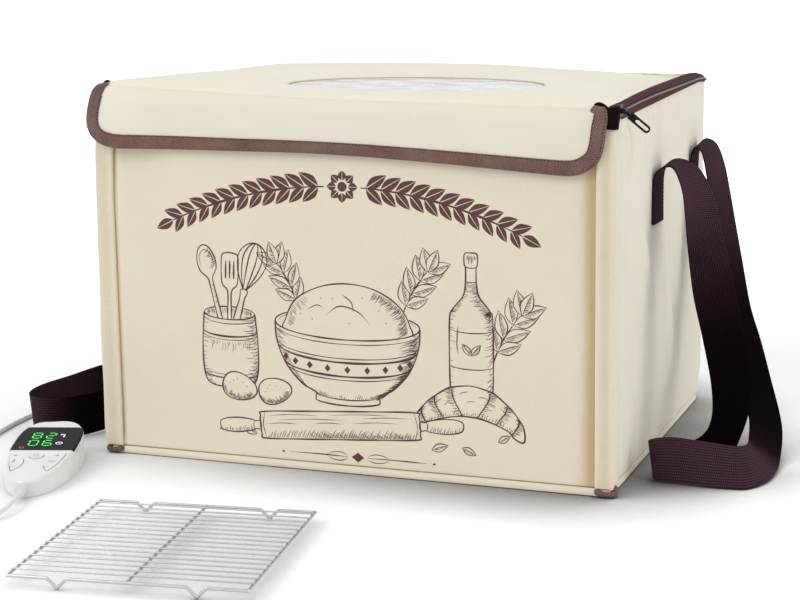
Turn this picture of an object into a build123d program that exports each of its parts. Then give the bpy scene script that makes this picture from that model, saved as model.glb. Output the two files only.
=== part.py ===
from build123d import *
from math import atan, cos, degrees, hypot, pi, radians, sin, tan
import os

# Folding dough proofer: a padded fabric box with a heated floor, a zipped lid with a film window and a
# hook-and-loop front flap, two carrying straps, a wired hand controller and a wire rack.
# Millimetres, +Z up, front towards -Y. The origin is the centre of the base's underside.

# ---- driving dimensions ----
WIDTH, DEPTH, HEIGHT = 440.0, 380.0, 313.0
WALL = 12.0             # padded wall: fabric cover, foam board and lining together
SKIN = 1.5              # fabric thickness, and the width of the cover's turned edges
CORE = 7.5              # foam board inside a wall
BASE = 7.0              # the floor panel
LID = 6.6               # the lid panel
GAP = 0.4               # air between panels that move past each other
SLACK = 0.2             # looseness of a board in its pocket

X_OUT, Y_OUT = WIDTH / 2, DEPTH / 2
X_IN, Y_IN = X_OUT - WALL, Y_OUT - WALL
LID_BOTTOM = HEIGHT - LID
WALL_TOP = LID_BOTTOM - 0.4
WALL_BOTTOM = BASE + GAP

# Corner strips: a fabric roll over each front corner
STRIP_FRONT, STRIP_SIDE, STRIP_THICK = 13.0, 24.0, 2.0

# Window in the lid
WINDOW_X, WINDOW_Y = -4.0, -5.0
WINDOW_A, WINDOW_B = 117.0, 99.0
WINDOW_LAP = 8.0
FILM = 0.5

# Front flap, hanging from the lid's front edge
FLAP_LEFT, FLAP_RIGHT, FLAP_BOTTOM = -226.0, 213.0, 264.0
FLAP_CORNER, FLAP_THICK, BINDING = 28.0, 5.0, 11.0
FLAP_BACK = -Y_OUT - 2.9
FLAP_PIVOT_Y = -Y_OUT - 2.5
BAND_HALF, BAND_LOW, BAND_HIGH, BAND_THICK = 195.0, 279.0, 301.0, 1.2

# Zips along the lid's left and right edges
TAPE, COIL = 0.9, 2.2
ZIP_FRONT, ZIP_REAR = -186.0, 184.0
SLIDER_Y, SLIDER_LEN = -181.0, 11.0
PULL_LEN, PULL_WIDTH = 25.0, 6.0
RIGHT_DROOP, LEFT_DROOP = 38.0, 84.0
PULL_TWIST = 58.0

# Straps
STRAP_THICK = 1.6

# Heating mat, its lead and the gland in the base's rear rim
MAT_X, MAT_Y, MAT_THICK = 360.0, 300.0, 2.3
CORD_R = 2.0
GLAND_X, GLAND_Z = -150.0, 3.6

# Hand controller, in its own frame: face at z = 0, boot end towards -Y
CONTROLLER_LEN, CONTROLLER_HALF = 145.6, 28.0
CONTROLLER_THIN, CONTROLLER_THICK = 14.0, 28.0
CONTROLLER_AT = (-243.0, -272.0)
CONTROLLER_TURN = 18.0
SHELL = 2.0
SPLIT_DEPTH = 8.5
LENS_DEPTH = 1.6
LENS_LOW, LENS_HIGH = -1.8, 55.2
BUTTON_GAP = 0.4
BUTTON_RISE = 1.0
BUTTON_DEPTH = 3.4
POWER_AT, POWER_R = (-0.8, -16.0), 5.9
ROCKER_Y, ROCKER_PIVOT_DEPTH = -29.5, 1.2
BOOT_LEN, BOOT_R = 20.0, 5.0
BOOT_Z = 7.5

# Wire rack
RACK_W, RACK_D = 172.0, 186.0
RACK_AT, RACK_TURN = (-47.0, -431.0), 8.0
RACK_WIRE_R, RACK_THIN_R = 1.2, 0.65
RACK_Z = 8.0
RACK_WIRES = 17
RACK_FOOT, RACK_FOOT_HALF = 0.29, 7.0

os.makedirs("parts", exist_ok=True)


# ---- helpers ----
def save(name, shape):
    export_step(shape, f"parts/{name}.step")


def box(low, high):
    size = [h - l for l, h in zip(low, high)]
    middle = [(h + l) / 2 for l, h in zip(low, high)]
    return Pos(*middle) * Box(*size)


def group(shapes):
    return Compound(children=list(shapes))


def mirrored(shape):
    """The left-hand twin of a right-hand piece."""
    return shape.mirror(Plane.YZ)


def panel_layers(low, high, axis, outward):
    """Cover, board and lining of a padded panel. axis is the thickness axis, outward is +1 or -1."""
    outer = high[axis] if outward > 0 else low[axis]
    inner = low[axis] if outward > 0 else high[axis]

    def layer(inset, start, end):
        a, b = [v + inset for v in low], [v - inset for v in high]
        span = sorted((outer - outward * start, outer - outward * end))
        a[axis], b[axis] = span
        return box(a, b)

    thick = abs(outer - inner)
    core = min(CORE, thick - 2 * SKIN)
    cover = box(low, high) - layer(SKIN, SKIN, thick)
    board = layer(SKIN + SLACK, SKIN, SKIN + core)
    lining = layer(SKIN, SKIN + core, thick)
    return cover, board, lining


def save_panel(name, layers):
    for part, shape in zip(("cover", "board", "lining"), layers):
        save(f"{name}_{part}", shape)


def triangle(a, b, c):
    return Face(Wire.make_polygon([a, b, c], close=True))


def ribbon(edges, thickness):
    """A flat strap as a closed solid. edges lists the two points across the strap at each station."""
    middles = [(Vector(*a) + Vector(*b)) * 0.5 for a, b in edges]
    rings = []
    for i, (a, b) in enumerate(edges):
        along = middles[min(i + 1, len(edges) - 1)] - middles[max(i - 1, 0)]
        across = Vector(*b) - Vector(*a)
        out = along.cross(across).normalized() * (thickness / 2)
        rings.append([Vector(*a) + out, Vector(*b) + out, Vector(*b) - out, Vector(*a) - out])
    faces = []
    for one, two in zip(rings, rings[1:]):
        for k in range(4):
            m = (k + 1) % 4
            faces.append(triangle(one[k], one[m], two[m]))
            faces.append(triangle(one[k], two[m], two[k]))
    for ring in (rings[0], rings[-1]):
        faces.append(triangle(ring[0], ring[1], ring[2]))
        faces.append(triangle(ring[0], ring[2], ring[3]))
    return Solid(Shell(faces))


# ---- base ----
def base():
    low, high = [-X_OUT, -Y_OUT, 0], [X_OUT, Y_OUT, BASE]
    pocket = box([-X_OUT + SKIN, -Y_OUT + SKIN, SKIN], [X_OUT - SKIN, Y_OUT - SKIN, BASE])
    gland_hole = Pos(GLAND_X, Y_OUT, GLAND_Z) * Rot(90, 0, 0) * Cylinder(3.0, 20)
    groove = box([GLAND_X - CORD_R, MAT_Y / 2, SKIN], [GLAND_X + CORD_R, Y_OUT, GLAND_Z + CORD_R])
    middle = SKIN + 2.4
    edge = SKIN + SLACK
    board = box([-X_OUT + edge, -Y_OUT + edge, SKIN], [X_OUT - edge, Y_OUT - edge, middle])
    lining = box([-X_OUT + SKIN, -Y_OUT + SKIN, middle], [X_OUT - SKIN, Y_OUT - SKIN, BASE])
    mat = box([-MAT_X / 2, -MAT_Y / 2, BASE - MAT_THICK], [MAT_X / 2, MAT_Y / 2, BASE])
    save("base_cover", box(low, high) - pocket - gland_hole)
    save("base_board", board - groove - gland_hole)
    save("base_lining", lining - mat - groove - gland_hole)
    save("heating_mat", mat)
    gland_in = 184.0
    lead = Pos(GLAND_X, (MAT_Y / 2 + gland_in) / 2, GLAND_Z) * Rot(90, 0, 0)
    save("mat_lead", lead * Cylinder(CORD_R - 0.05, gland_in - MAT_Y / 2))
    barrel = Pos(GLAND_X, (gland_in + Y_OUT) / 2, GLAND_Z) * Rot(90, 0, 0) * Cylinder(2.95, Y_OUT - gland_in)
    cone = Pos(GLAND_X, Y_OUT + 7, GLAND_Z) * Rot(-90, 0, 0) * Cone(3.5, 2.7, 14)
    save("cord_grommet", barrel + cone)


# ---- walls ----
def walls():
    rear = panel_layers([-X_OUT, Y_IN, BASE], [X_OUT, Y_OUT, WALL_TOP], 1, 1)
    save_panel("rear", rear)
    front = panel_layers([-X_OUT, -Y_OUT, WALL_BOTTOM], [X_OUT, -Y_IN, WALL_TOP], 1, -1)
    save_panel("front", front)
    for half, near, far in (("rear", 0.2, Y_IN - 0.3), ("front", -Y_IN + 0.3, -0.2)):
        layers = panel_layers([X_IN, near, WALL_BOTTOM], [X_OUT, far, WALL_TOP], 0, 1)
        save_panel(f"right_{half}", layers)
        save_panel(f"left_{half}", [mirrored(s) for s in layers])


def corner_strip():
    """The right-hand strip: an L round the front corner, fixed to the front wall."""
    face = -Y_OUT - STRIP_THICK
    front = box([X_OUT - STRIP_FRONT, face, WALL_BOTTOM], [X_OUT + STRIP_THICK, -Y_OUT, WALL_TOP])
    side = box([X_OUT + GAP, -Y_OUT, WALL_BOTTOM], [X_OUT + STRIP_THICK, -Y_OUT + STRIP_SIDE, WALL_TOP])
    return front + side


def closure_bands():
    front = -Y_OUT
    save("closure_loop_band", box([-BAND_HALF, front - BAND_THICK, BAND_LOW], [BAND_HALF, front, BAND_HIGH]))
    hook = box([-BAND_HALF, FLAP_BACK, BAND_LOW], [BAND_HALF, FLAP_BACK + BAND_THICK, BAND_HIGH])
    save("closure_hook_band", hook)


# ---- lid, window and flap ----
def oval(grow, low, high):
    return Pos(WINDOW_X, WINDOW_Y, low) * extrude(Ellipse(WINDOW_A + grow, WINDOW_B + grow), high - low)


def lid():
    cover, board, lining = panel_layers([-X_OUT, -Y_OUT - 2, LID_BOTTOM], [X_OUT, Y_OUT, HEIGHT], 2, 1)
    film_top = HEIGHT - SKIN
    save("lid_cover", cover - oval(0, LID_BOTTOM, HEIGHT))
    save("lid_board", board - oval(WINDOW_LAP + 1, LID_BOTTOM, HEIGHT))
    save("lid_lining", lining - oval(0, LID_BOTTOM, HEIGHT))
    save("lid_window", oval(WINDOW_LAP, film_top - FILM, film_top))


def flap_outline(inset):
    """Flap outline seen from the front, with its two lower corners rounded."""
    x0, x1, z0 = FLAP_LEFT + inset, FLAP_RIGHT - inset, FLAP_BOTTOM + inset
    r = FLAP_CORNER - inset
    bend = r * (1 - cos(pi / 4))
    left = ThreePointArc((x0, z0 + r), (x0 + bend, z0 + bend), (x0 + r, z0))
    right = ThreePointArc((x1 - r, z0), (x1 - bend, z0 + bend), (x1, z0 + r))
    sides = [Line((x0 + r, z0), (x1 - r, z0)), Line((x1, z0 + r), (x1, HEIGHT))]
    top = [Line((x1, HEIGHT), (x0, HEIGHT)), Line((x0, HEIGHT), (x0, z0 + r))]
    return make_face(Curve() + [left, sides[0], right, sides[1], top[0], top[1]])


def flap():
    def plate(outline, thick):
        return Pos(0, FLAP_BACK, 0) * extrude(Plane.XZ * outline, thick)

    inner = plate(flap_outline(BINDING), FLAP_THICK)
    rim = plate(flap_outline(0), FLAP_THICK + 0.8) - plate(flap_outline(BINDING), FLAP_THICK + 0.8)
    save("flap_panel", inner)
    save("flap_binding", rim)


# ---- zips ----
def wall_tape():
    """Right-hand tape on the side wall, bent with it at the fold."""
    return box([X_OUT + 0.3, -164, WALL_TOP - 9], [X_OUT + 0.3 + TAPE, 176, WALL_TOP])


def lid_zip():
    """Right-hand coil with its tape, on the lid's edge."""
    tape = box([X_OUT, ZIP_FRONT, LID_BOTTOM + COIL], [X_OUT + TAPE, ZIP_REAR, HEIGHT - 0.4])
    coil = box([X_OUT, ZIP_FRONT, LID_BOTTOM], [X_OUT + COIL, ZIP_REAR, LID_BOTTOM + COIL])
    return tape + coil


PULL_X, PULL_Z = X_OUT + COIL + 4.6, LID_BOTTOM + COIL / 2


def slider():
    """Right-hand zip slider: a plate over the coil with two lugs and a pin for the pull."""
    x0 = X_OUT + COIL + 0.4
    half = SLIDER_LEN / 2
    plate = box([x0, SLIDER_Y - half, PULL_Z - 4.5], [x0 + 2.0, SLIDER_Y + half, PULL_Z + 4.5])
    lug_in, lug_out = PULL_WIDTH / 2 + 0.3, PULL_WIDTH / 2 + 1.5
    body = plate
    for sign in (-1, 1):
        ends = sorted((SLIDER_Y + sign * lug_in, SLIDER_Y + sign * lug_out))
        body += box([x0 + 2.0, ends[0], PULL_Z - 1.8], [PULL_X + 1.4, ends[1], PULL_Z + 1.8])
    return body + Pos(PULL_X, SLIDER_Y, PULL_Z) * Rot(90, 0, 0) * Cylinder(0.8, 2 * lug_out)


def pull(droop):
    """Right-hand pull tab, drooping from the slider's pin: a barrel, a neck and a twisted tab with a long slot at its end."""
    half, root = PULL_WIDTH / 2, 5.2
    tab = box([root, -half, -0.9], [PULL_LEN - half, half, 0.9]) + Pos(PULL_LEN - half, 0, 0) * Cylinder(half, 1.8)
    slot_long, slot_half = 9.0, 1.7
    slot_mid = PULL_LEN - half - slot_long / 2
    tab -= Pos(slot_mid, 0, 0) * extrude(SlotOverall(slot_long + 2 * slot_half, 2 * slot_half), 2, both=True)
    tab = Rot(PULL_TWIST, 0, 0) * tab
    tab += Pos((root + 1.0) / 2 + 0.6, 0, 0) * Rot(0, 90, 0) * Cylinder(1.2, root + 1.0)
    tab += Rot(90, 0, 0) * Cylinder(1.75, PULL_WIDTH)
    tab -= Rot(90, 0, 0) * Cylinder(0.86, PULL_WIDTH + 1)
    return Pos(PULL_X, SLIDER_Y, PULL_Z) * Rot(0, droop, 0) * tab


# ---- straps: two points across the webbing at each station, from the front end to the rear end ----
RIGHT_STRAP = [
    ((221.3, -46, 200), (221.3, -6, 200)), ((221.3, -46, 236), (221.3, -6, 236)), ((227, -46, 247), (226, -7, 248)),
    ((238, -47, 249), (238, -9, 252)), ((247, -49, 232), (255, -14, 245)), ((251, -52, 210), (269, -19, 222)),
    ((254, -56, 188), (279, -28, 190)), ((261, -62, 146), (292, -41, 150)), ((271, -68, 110), (303, -49, 108)),
    ((280, -72, 72), (311, -52, 72)), ((282, -76, 45), (309, -58, 42)), ((277, -88, 32), (299, -77, 11)),
    ((264, -104, 27), (290, -92, 1.2)), ((252, -116, 26), (272, -100, 1.2)), ((242, -122, 28), (255, -106, 1.2)),
    ((238, -127, 33), (242, -120, 1.2)), ((243, -131, 36.5), (250, -132, 1.2)), ((260, -131, 39), (267, -133, 1.2)),
    ((279, -129, 37.5), (288, -135, 1.2)), ((296, -121, 34), (308, -134, 1.2)), ((306, -106, 29), (322, -130, 1.2)),
    ((311, -90, 26), (333, -108, 1.6)), ((312, -76, 24), (337, -78, 2.5)), ((311, -60, 26), (336, -48, 7)),
    ((305, -28, 38), (331, -10, 26)), ((288, 10, 63), (313, 36, 58)), ((276, 34, 86), (300, 62, 84)),
    ((266, 54, 112), (286, 84, 112)), ((256, 72, 150), (274, 105, 150)), ((249, 86, 185), (264, 120, 184)),
    ((243, 97, 212), (256, 132, 212)), ((238, 105, 232), (249, 141, 234)), ((233, 110, 246), (240, 148, 250)),
    ((227, 112, 250), (229, 151, 254)), ((222.8, 113, 243), (222.8, 153, 246)), ((221.3, 113, 232), (221.3, 153, 232)),
    ((221.3, 113, 208), (221.3, 153, 208)),
]
LEFT_STRAP = [
    ((-221.3, -46, 200), (-221.3, -6, 200)), ((-221.3, -46, 236), (-221.3, -6, 236)),
    ((-226, -46, 247), (-226, -6, 247)), ((-236, -46, 251), (-236, -7, 251)), ((-246, -47, 242), (-246, -9, 242)),
    ((-251, -48, 220), (-251, -10, 220)), ((-254, -50, 180), (-254, -12, 180)), ((-255, -53, 135), (-256, -15, 135)),
    ((-255, -57, 95), (-257, -19, 90)), ((-256, -63, 62), (-259, -27, 50)), ((-258, -75, 47), (-261, -46, 19)),
    ((-260, -97, 39), (-262, -88, 1.2)), ((-263, -125, 39), (-264, -122, 1.2)), ((-270, -150, 39), (-271, -147, 1.2)),
    ((-283, -167, 39), (-283, -164, 1.2)), ((-300, -173, 39), (-299, -170, 1.2)),
    ((-314, -166, 39), (-312, -162, 1.2)), ((-323.5, -148, 39), (-321.5, -146, 1.2)),
    ((-325.5, -120, 39), (-324.5, -120, 1.2)), ((-320, -82, 39), (-320, -82, 1.2)), ((-315, -35, 39), (-315, -35, 1.2)),
    ((-303, 10, 39), (-304, 14, 1.2)), ((-293, 45, 42), (-294, 58, 6)), ((-284, 72, 55), (-284, 93, 24)),
    ((-275, 86, 80), (-275, 116, 60)), ((-268, 94, 115), (-268, 130, 105)), ((-262, 100, 150), (-262, 138, 148)),
    ((-257, 105, 185), (-257, 143, 185)), ((-251, 109, 218), (-251, 148, 218)), ((-244, 112, 240), (-244, 151, 240)),
    ((-234, 113, 251), (-234, 153, 251)), ((-225.5, 113, 247), (-225.5, 153, 247)),
    ((-221.3, 113, 236), (-221.3, 153, 236)), ((-221.3, 113, 200), (-221.3, 153, 200)),
]


# ---- controller ----
TILT = atan((CONTROLLER_THICK - CONTROLLER_THIN) / CONTROLLER_LEN)
HALF_LEN = CONTROLLER_LEN / 2
CONTROLLER_LIFT = HALF_LEN * sin(TILT) + CONTROLLER_THIN * cos(TILT)


def controller_place():
    """Lays the controller's own frame on the floor: its flat back down and its face up."""
    return Pos(*CONTROLLER_AT, CONTROLLER_LIFT) * Rot(0, 0, CONTROLLER_TURN) * Rot(degrees(TILT), 0, 0)


def controller_outline(inset):
    """Shield shape: round top, straight-sided display part, tapering to the boot."""
    right = [(0, 72.8), (15, 70.2), (24.5, 55), (28, 28), (27.6, -4), (22.6, -41), (10.8, -66.5), (0, -72.8)]
    left = [(-x, y) for x, y in reversed(right[1:-1])]
    narrow, shorten = 1 - inset / CONTROLLER_HALF, 1 - inset / HALF_LEN
    return make_face(Spline([(x * narrow, y * shorten) for x, y in right + left], periodic=True))


def back_wedge(inset):
    """Everything below the sloping back, moved in by inset."""
    a, b = -CONTROLLER_THIN + inset, -CONTROLLER_THICK + inset
    slope = (b - a) / CONTROLLER_LEN
    far = 100.0
    y0, y1 = -far, far
    z0, z1 = a + slope * (y0 + HALF_LEN), a + slope * (y1 + HALF_LEN)
    side = Polyline((y0, z0), (y1, z1), (y1, -far), (y0, -far), close=True)
    return Pos(-far, 0, 0) * extrude(Plane.YZ * make_face(side), 2 * far)


def controller_body():
    block = Pos(0, 0, -40) * extrude(controller_outline(0), 40)
    top = block.faces().sort_by(Axis.Z)[-1]
    return fillet(top.edges(), 3.0) - back_wedge(0)


def controller_cavity():
    inner = controller_outline(SHELL)
    return Pos(0, 0, -40) * extrude(inner, 40 - SHELL - LENS_DEPTH) - back_wedge(SHELL)


def rocker_outline():
    """The left rocker: a long crescent beside the controller's edge."""
    inner = ThreePointArc((-20.3, -9), (-8.9, -33), (-14.8, -50.3))
    outer = ThreePointArc((-14.8, -50.3), (-20.2, -31), (-22.6, -11.5))
    tip = ThreePointArc((-22.6, -11.5), (-22.0, -9.4), (-20.3, -9))
    return make_face(Curve() + [inner, outer, tip])


def button(outline, thickness):
    top = Pos(0, 0, BUTTON_RISE - thickness) * extrude(outline, thickness)
    return top


def face_hole(outline):
    return Pos(0, 0, -SPLIT_DEPTH) * extrude(offset(outline, amount=BUTTON_GAP), SPLIT_DEPTH + 5)


SCREWS = [(-12, 58), (12, 58), (-7, -58), (7, -58)]


def screw_at(x, y, grow):
    """A screw from the back into the front shell's post. grow is the extra radius of its hole."""
    back = -CONTROLLER_THIN - (y + HALF_LEN) * tan(TILT)
    head = Pos(x, y, back + 1.6) * Cylinder(2.0 + grow, 2.0)
    shank_top = -SPLIT_DEPTH + 3.0
    shank = Pos(x, y, (back + 2.6 + shank_top) / 2) * Cylinder(0.9 + grow, shank_top - back - 2.6)
    return head + shank


def controller():
    place = controller_place()
    body, cavity = controller_body(), controller_cavity()
    lens_zone = box([-40, LENS_LOW, -LENS_DEPTH], [40, LENS_HIGH, 5])
    lens = body & lens_zone
    posts = [Pos(x, y, -20) * Cylinder(3.2, 40) & cavity for x, y in SCREWS]
    shell = body - cavity - lens_zone
    for post in posts:
        shell += post
    for x, y in SCREWS:
        shell -= screw_at(x, y, 0.05)
    power, rocker = Pos(*POWER_AT) * Circle(POWER_R), rocker_outline()
    timer = rocker.mirror(Plane.YZ)
    for outline in (power, rocker, timer):
        shell -= face_hole(outline)
    shell -= Pos(0, HALF_LEN, -15) * Rot(90, 0, 0) * Cylinder(5.0, 14)
    upper = box([-60, -100, -SPLIT_DEPTH], [60, 100, 10])
    front = shell & upper
    rear = shell - upper
    save("controller_front_shell", place * front)
    save("controller_rear_shell", place * rear)
    save("display_window", place * lens)
    save("power_button", place * button(power, BUTTON_DEPTH))
    save("temperature_rocker", place * button(rocker, BUTTON_DEPTH))
    save("timer_rocker", place * button(timer, BUTTON_DEPTH))
    save("display_module", place * box([-17, 6, -6.6], [17, 48, -3.7]))
    board = box([-15, -44, -8.2], [15, 50, -6.7])
    save("circuit_board", place * board)
    save("controller_screws", place * group(screw_at(x, y, 0) for x, y in SCREWS))
    gland = Pos(0, HALF_LEN - 3.6, -15) * Rot(90, 0, 0) * Cylinder(4.9, 9)
    gland -= Pos(0, HALF_LEN, -15) * Rot(90, 0, 0) * Cylinder(1.9, 12)
    save("mains_gland", place * gland)


def boot_start():
    """Where the boot leaves the controller, and its heading along the floor."""
    turn = radians(CONTROLLER_TURN)
    ahead = (sin(turn), -cos(turn))
    reach = HALF_LEN * cos(TILT) - 0.4
    return (CONTROLLER_AT[0] + ahead[0] * reach, CONTROLLER_AT[1] + ahead[1] * reach, BOOT_Z), ahead


def cord_boot():
    """Ribbed, tapering strain relief, level with the floor."""
    start, _ = boot_start()
    place = Pos(*start) * Rot(0, 0, CONTROLLER_TURN) * Rot(90, 0, 0)
    boot = Pos(0, 0, BOOT_LEN / 2) * Cone(BOOT_R - 0.8, CORD_R + 0.5, BOOT_LEN)
    ribs = 5
    for i in range(ribs):
        z = 3.5 + i * 3.3
        radius = BOOT_R - 0.45 * i
        boot += Pos(0, 0, z) * Cylinder(radius, 1.7)
    body = controller_place() * controller_body()
    save("cord_boot", place * boot - body)


# ---- cord: its route after the boot, round the left side to the gland at the rear ----
CORD = [
    (-207.5, -393.5, 5.6), (-212.5, -409.5, 3.4), (-225.0, -423.0, 2.4), (-243.5, -430.0, 2.2),
    (-263.5, -427.0, 2.2), (-281.0, -413.5, 2.2), (-293.0, -390.0, 2.2), (-300.5, -357.0, 2.2),
    (-308.0, -318.0, 2.2), (-318.5, -276.0, 2.2), (-332.0, -232.0, 2.2), (-344.5, -185.5, 2.2),
    (-352.0, -137.0, 2.2), (-353.0, -87.0, 2.2), (-350.0, -35.5, 2.2), (-345.5, 16.0, 2.2),
    (-341.5, 67.0, 2.2), (-335.0, 116.0, 2.2), (-319.0, 162.0, 2.2), (-287.0, 199.0, 2.2),
    (-249.0, 227.0, 2.2), (-213.0, 243.0, 2.2), (-190.0, 247.5, 2.3), (-171.0, 244.0, 2.6),
    (-156.0, 234.5, 3.1), (-150.0, 219.0, 3.6), (-150.0, 204.0, 3.6),
]
CORD_FIRST_RUN = 16.5


def bend_radii(points):
    """0.45 of the shorter run over the tangent of half the turn, at each inner point."""
    radii = []
    for a, b, c in zip(points, points[1:], points[2:]):
        run_in, run_out = Vector(*b) - Vector(*a), Vector(*c) - Vector(*b)
        turn = radians(run_in.get_angle(run_out))
        radii.append(0.45 * min(run_in.length, run_out.length) / tan(turn / 2))
    return radii


def cord():
    start, ahead = boot_start()
    straight = [
        (start[0] + ahead[0] * reach, start[1] + ahead[1] * reach, BOOT_Z)
        for reach in (BOOT_LEN, BOOT_LEN + CORD_FIRST_RUN)
    ]
    points = straight + CORD
    radii = bend_radii(points)
    path = FilletPolyline(*points, radius=radii)
    section = Plane(origin=path @ 0, z_dir=path % 0) * Circle(CORD_R)
    tube = sweep(section, path=path)
    print("cord starts", [[round(v, 1) for v in point] for point in straight], "length", round(path.length, 1))
    print("cord radii", [round(r) for r in radii])
    print("cord volume over section times length", round(tube.volume / (pi * CORD_R ** 2 * path.length), 4))
    save("controller_cord", tube)


# ---- rack ----
def rack_place():
    return Pos(*RACK_AT, 0) * Rot(0, 0, RACK_TURN)


def rack():
    half_w, half_d = RACK_W / 2, RACK_D / 2
    foot_z = RACK_WIRE_R

    def edge(y, direction):
        """One long edge with two V-shaped feet bent down from it."""
        points = [(-half_w, y, RACK_Z)]
        for side in (-1, 1):
            x = side * RACK_FOOT * RACK_W
            points += [(x - RACK_FOOT_HALF, y, RACK_Z), (x, y, foot_z), (x + RACK_FOOT_HALF, y, RACK_Z)]
        return points[::direction]

    corners = edge(half_d, 1) + [(half_w, half_d, RACK_Z), (half_w, -half_d, RACK_Z)] + edge(-half_d, -1)
    runs = list(zip(corners, corners[1:] + corners[:1]))
    frame = None
    for a, b in runs + [((0, -half_d, RACK_Z), (0, half_d, RACK_Z))]:
        start, end = Vector(*a), Vector(*b)
        rod = Plane(origin=start, z_dir=end - start) * Pos(0, 0, (end - start).length / 2)
        piece = rod * Cylinder(RACK_WIRE_R, (end - start).length)
        frame = piece if frame is None else frame + piece
    for point in corners:
        frame += Pos(*point) * Sphere(RACK_WIRE_R)
    save("rack_frame", rack_place() * frame)
    wires = []
    pitch = RACK_D / (RACK_WIRES + 1)
    wire_z = RACK_Z + RACK_WIRE_R + RACK_THIN_R
    for i in range(1, RACK_WIRES + 1):
        y = -half_d + i * pitch
        wires.append(rack_place() * Pos(0, y, wire_z) * Rot(0, 90, 0) * Cylinder(RACK_THIN_R, RACK_W + 1.4))
    save("rack_wires", group(wires))


def soft_and_zips():
    save("right_corner_strip", corner_strip())
    save("left_corner_strip", mirrored(corner_strip()))
    for name, shape in (("zip_tape", wall_tape()), ("lid_zip", lid_zip()), ("slider", slider())):
        save(f"right_{name}", shape)
        save(f"left_{name}", mirrored(shape))
    save("right_pull", pull(RIGHT_DROOP))
    save("left_pull", mirrored(pull(LEFT_DROOP)))
    save("right_strap", ribbon(RIGHT_STRAP, STRAP_THICK))
    save("left_strap", ribbon(LEFT_STRAP, STRAP_THICK))


def main():
    base()
    walls()
    closure_bands()
    lid()
    flap()
    soft_and_zips()
    controller()
    cord_boot()
    cord()
    rack()


main()
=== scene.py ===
"""Folding dough proofer: a zipped fabric box with carrying straps, a controller on a cord and a wire rack."""
import math

import bpy
import numpy as np
from mathutils import Matrix, Vector


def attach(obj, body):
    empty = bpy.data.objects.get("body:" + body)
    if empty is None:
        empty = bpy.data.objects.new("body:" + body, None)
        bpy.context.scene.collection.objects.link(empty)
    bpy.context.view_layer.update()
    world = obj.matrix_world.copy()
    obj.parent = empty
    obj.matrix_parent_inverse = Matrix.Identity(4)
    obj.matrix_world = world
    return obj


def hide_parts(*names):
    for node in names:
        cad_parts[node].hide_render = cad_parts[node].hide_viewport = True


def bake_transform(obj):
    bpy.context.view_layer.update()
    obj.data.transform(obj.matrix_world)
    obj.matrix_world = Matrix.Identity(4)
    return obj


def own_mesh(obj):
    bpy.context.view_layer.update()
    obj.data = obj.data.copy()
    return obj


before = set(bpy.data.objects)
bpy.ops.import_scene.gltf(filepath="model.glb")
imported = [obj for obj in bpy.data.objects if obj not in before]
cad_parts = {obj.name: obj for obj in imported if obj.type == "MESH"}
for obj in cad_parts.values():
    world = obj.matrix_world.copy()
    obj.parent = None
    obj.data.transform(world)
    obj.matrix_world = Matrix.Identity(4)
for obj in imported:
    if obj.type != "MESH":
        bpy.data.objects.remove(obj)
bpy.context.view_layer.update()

# Lengths are in millimetres up to the last step, where Cut.make, the cord and the camera turn to metres.
# The lights and the floor are in metres.
# The box stands on the floor round the z axis: WIDE and DEEP are its half width and half depth.
MM = 0.001
WIDE, DEEP, TALL = 220.0, 190.0, 313.0
WALL_LOW, WALL_TOP = 7.4, 306.0
SIDES = ((1, "right"), (-1, "left"))

IMAGE_WIDTH, SENSOR, FOCAL_PIXELS = 800, 36.0, 1910.68
CAMERA_AT = (555.958, -1630.188, 428.239)
CAMERA_YAW, CAMERA_PITCH, CAMERA_ROLL = 0.340459, 0.179914, -0.003013


def place_object(name, data):
    made = bpy.data.objects.new(name, data)
    bpy.context.scene.collection.objects.link(made)
    return made


# ---- camera ----
def make_camera():
    """Stands in front and to the right of the box, a little above it."""
    yaw, pitch, roll = CAMERA_YAW, CAMERA_PITCH, CAMERA_ROLL
    forward = Vector((-math.sin(yaw) * math.cos(pitch), math.cos(yaw) * math.cos(pitch), -math.sin(pitch)))
    level = Vector((math.cos(yaw), math.sin(yaw), 0.0))
    rise = level.cross(forward)
    right = level * math.cos(roll) + rise * math.sin(roll)
    up = rise * math.cos(roll) - level * math.sin(roll)
    data = bpy.data.cameras.new("camera")
    data.sensor_width = SENSOR
    data.lens = FOCAL_PIXELS * SENSOR / IMAGE_WIDTH
    data.clip_start, data.clip_end = 0.05, 50.0
    camera = place_object("camera", data)
    turn = Matrix((right, up, -forward)).transposed()
    camera.matrix_world = Matrix.Translation(Vector(CAMERA_AT) * MM) @ turn.to_4x4()
    bpy.context.scene.camera = camera


make_camera()


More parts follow.
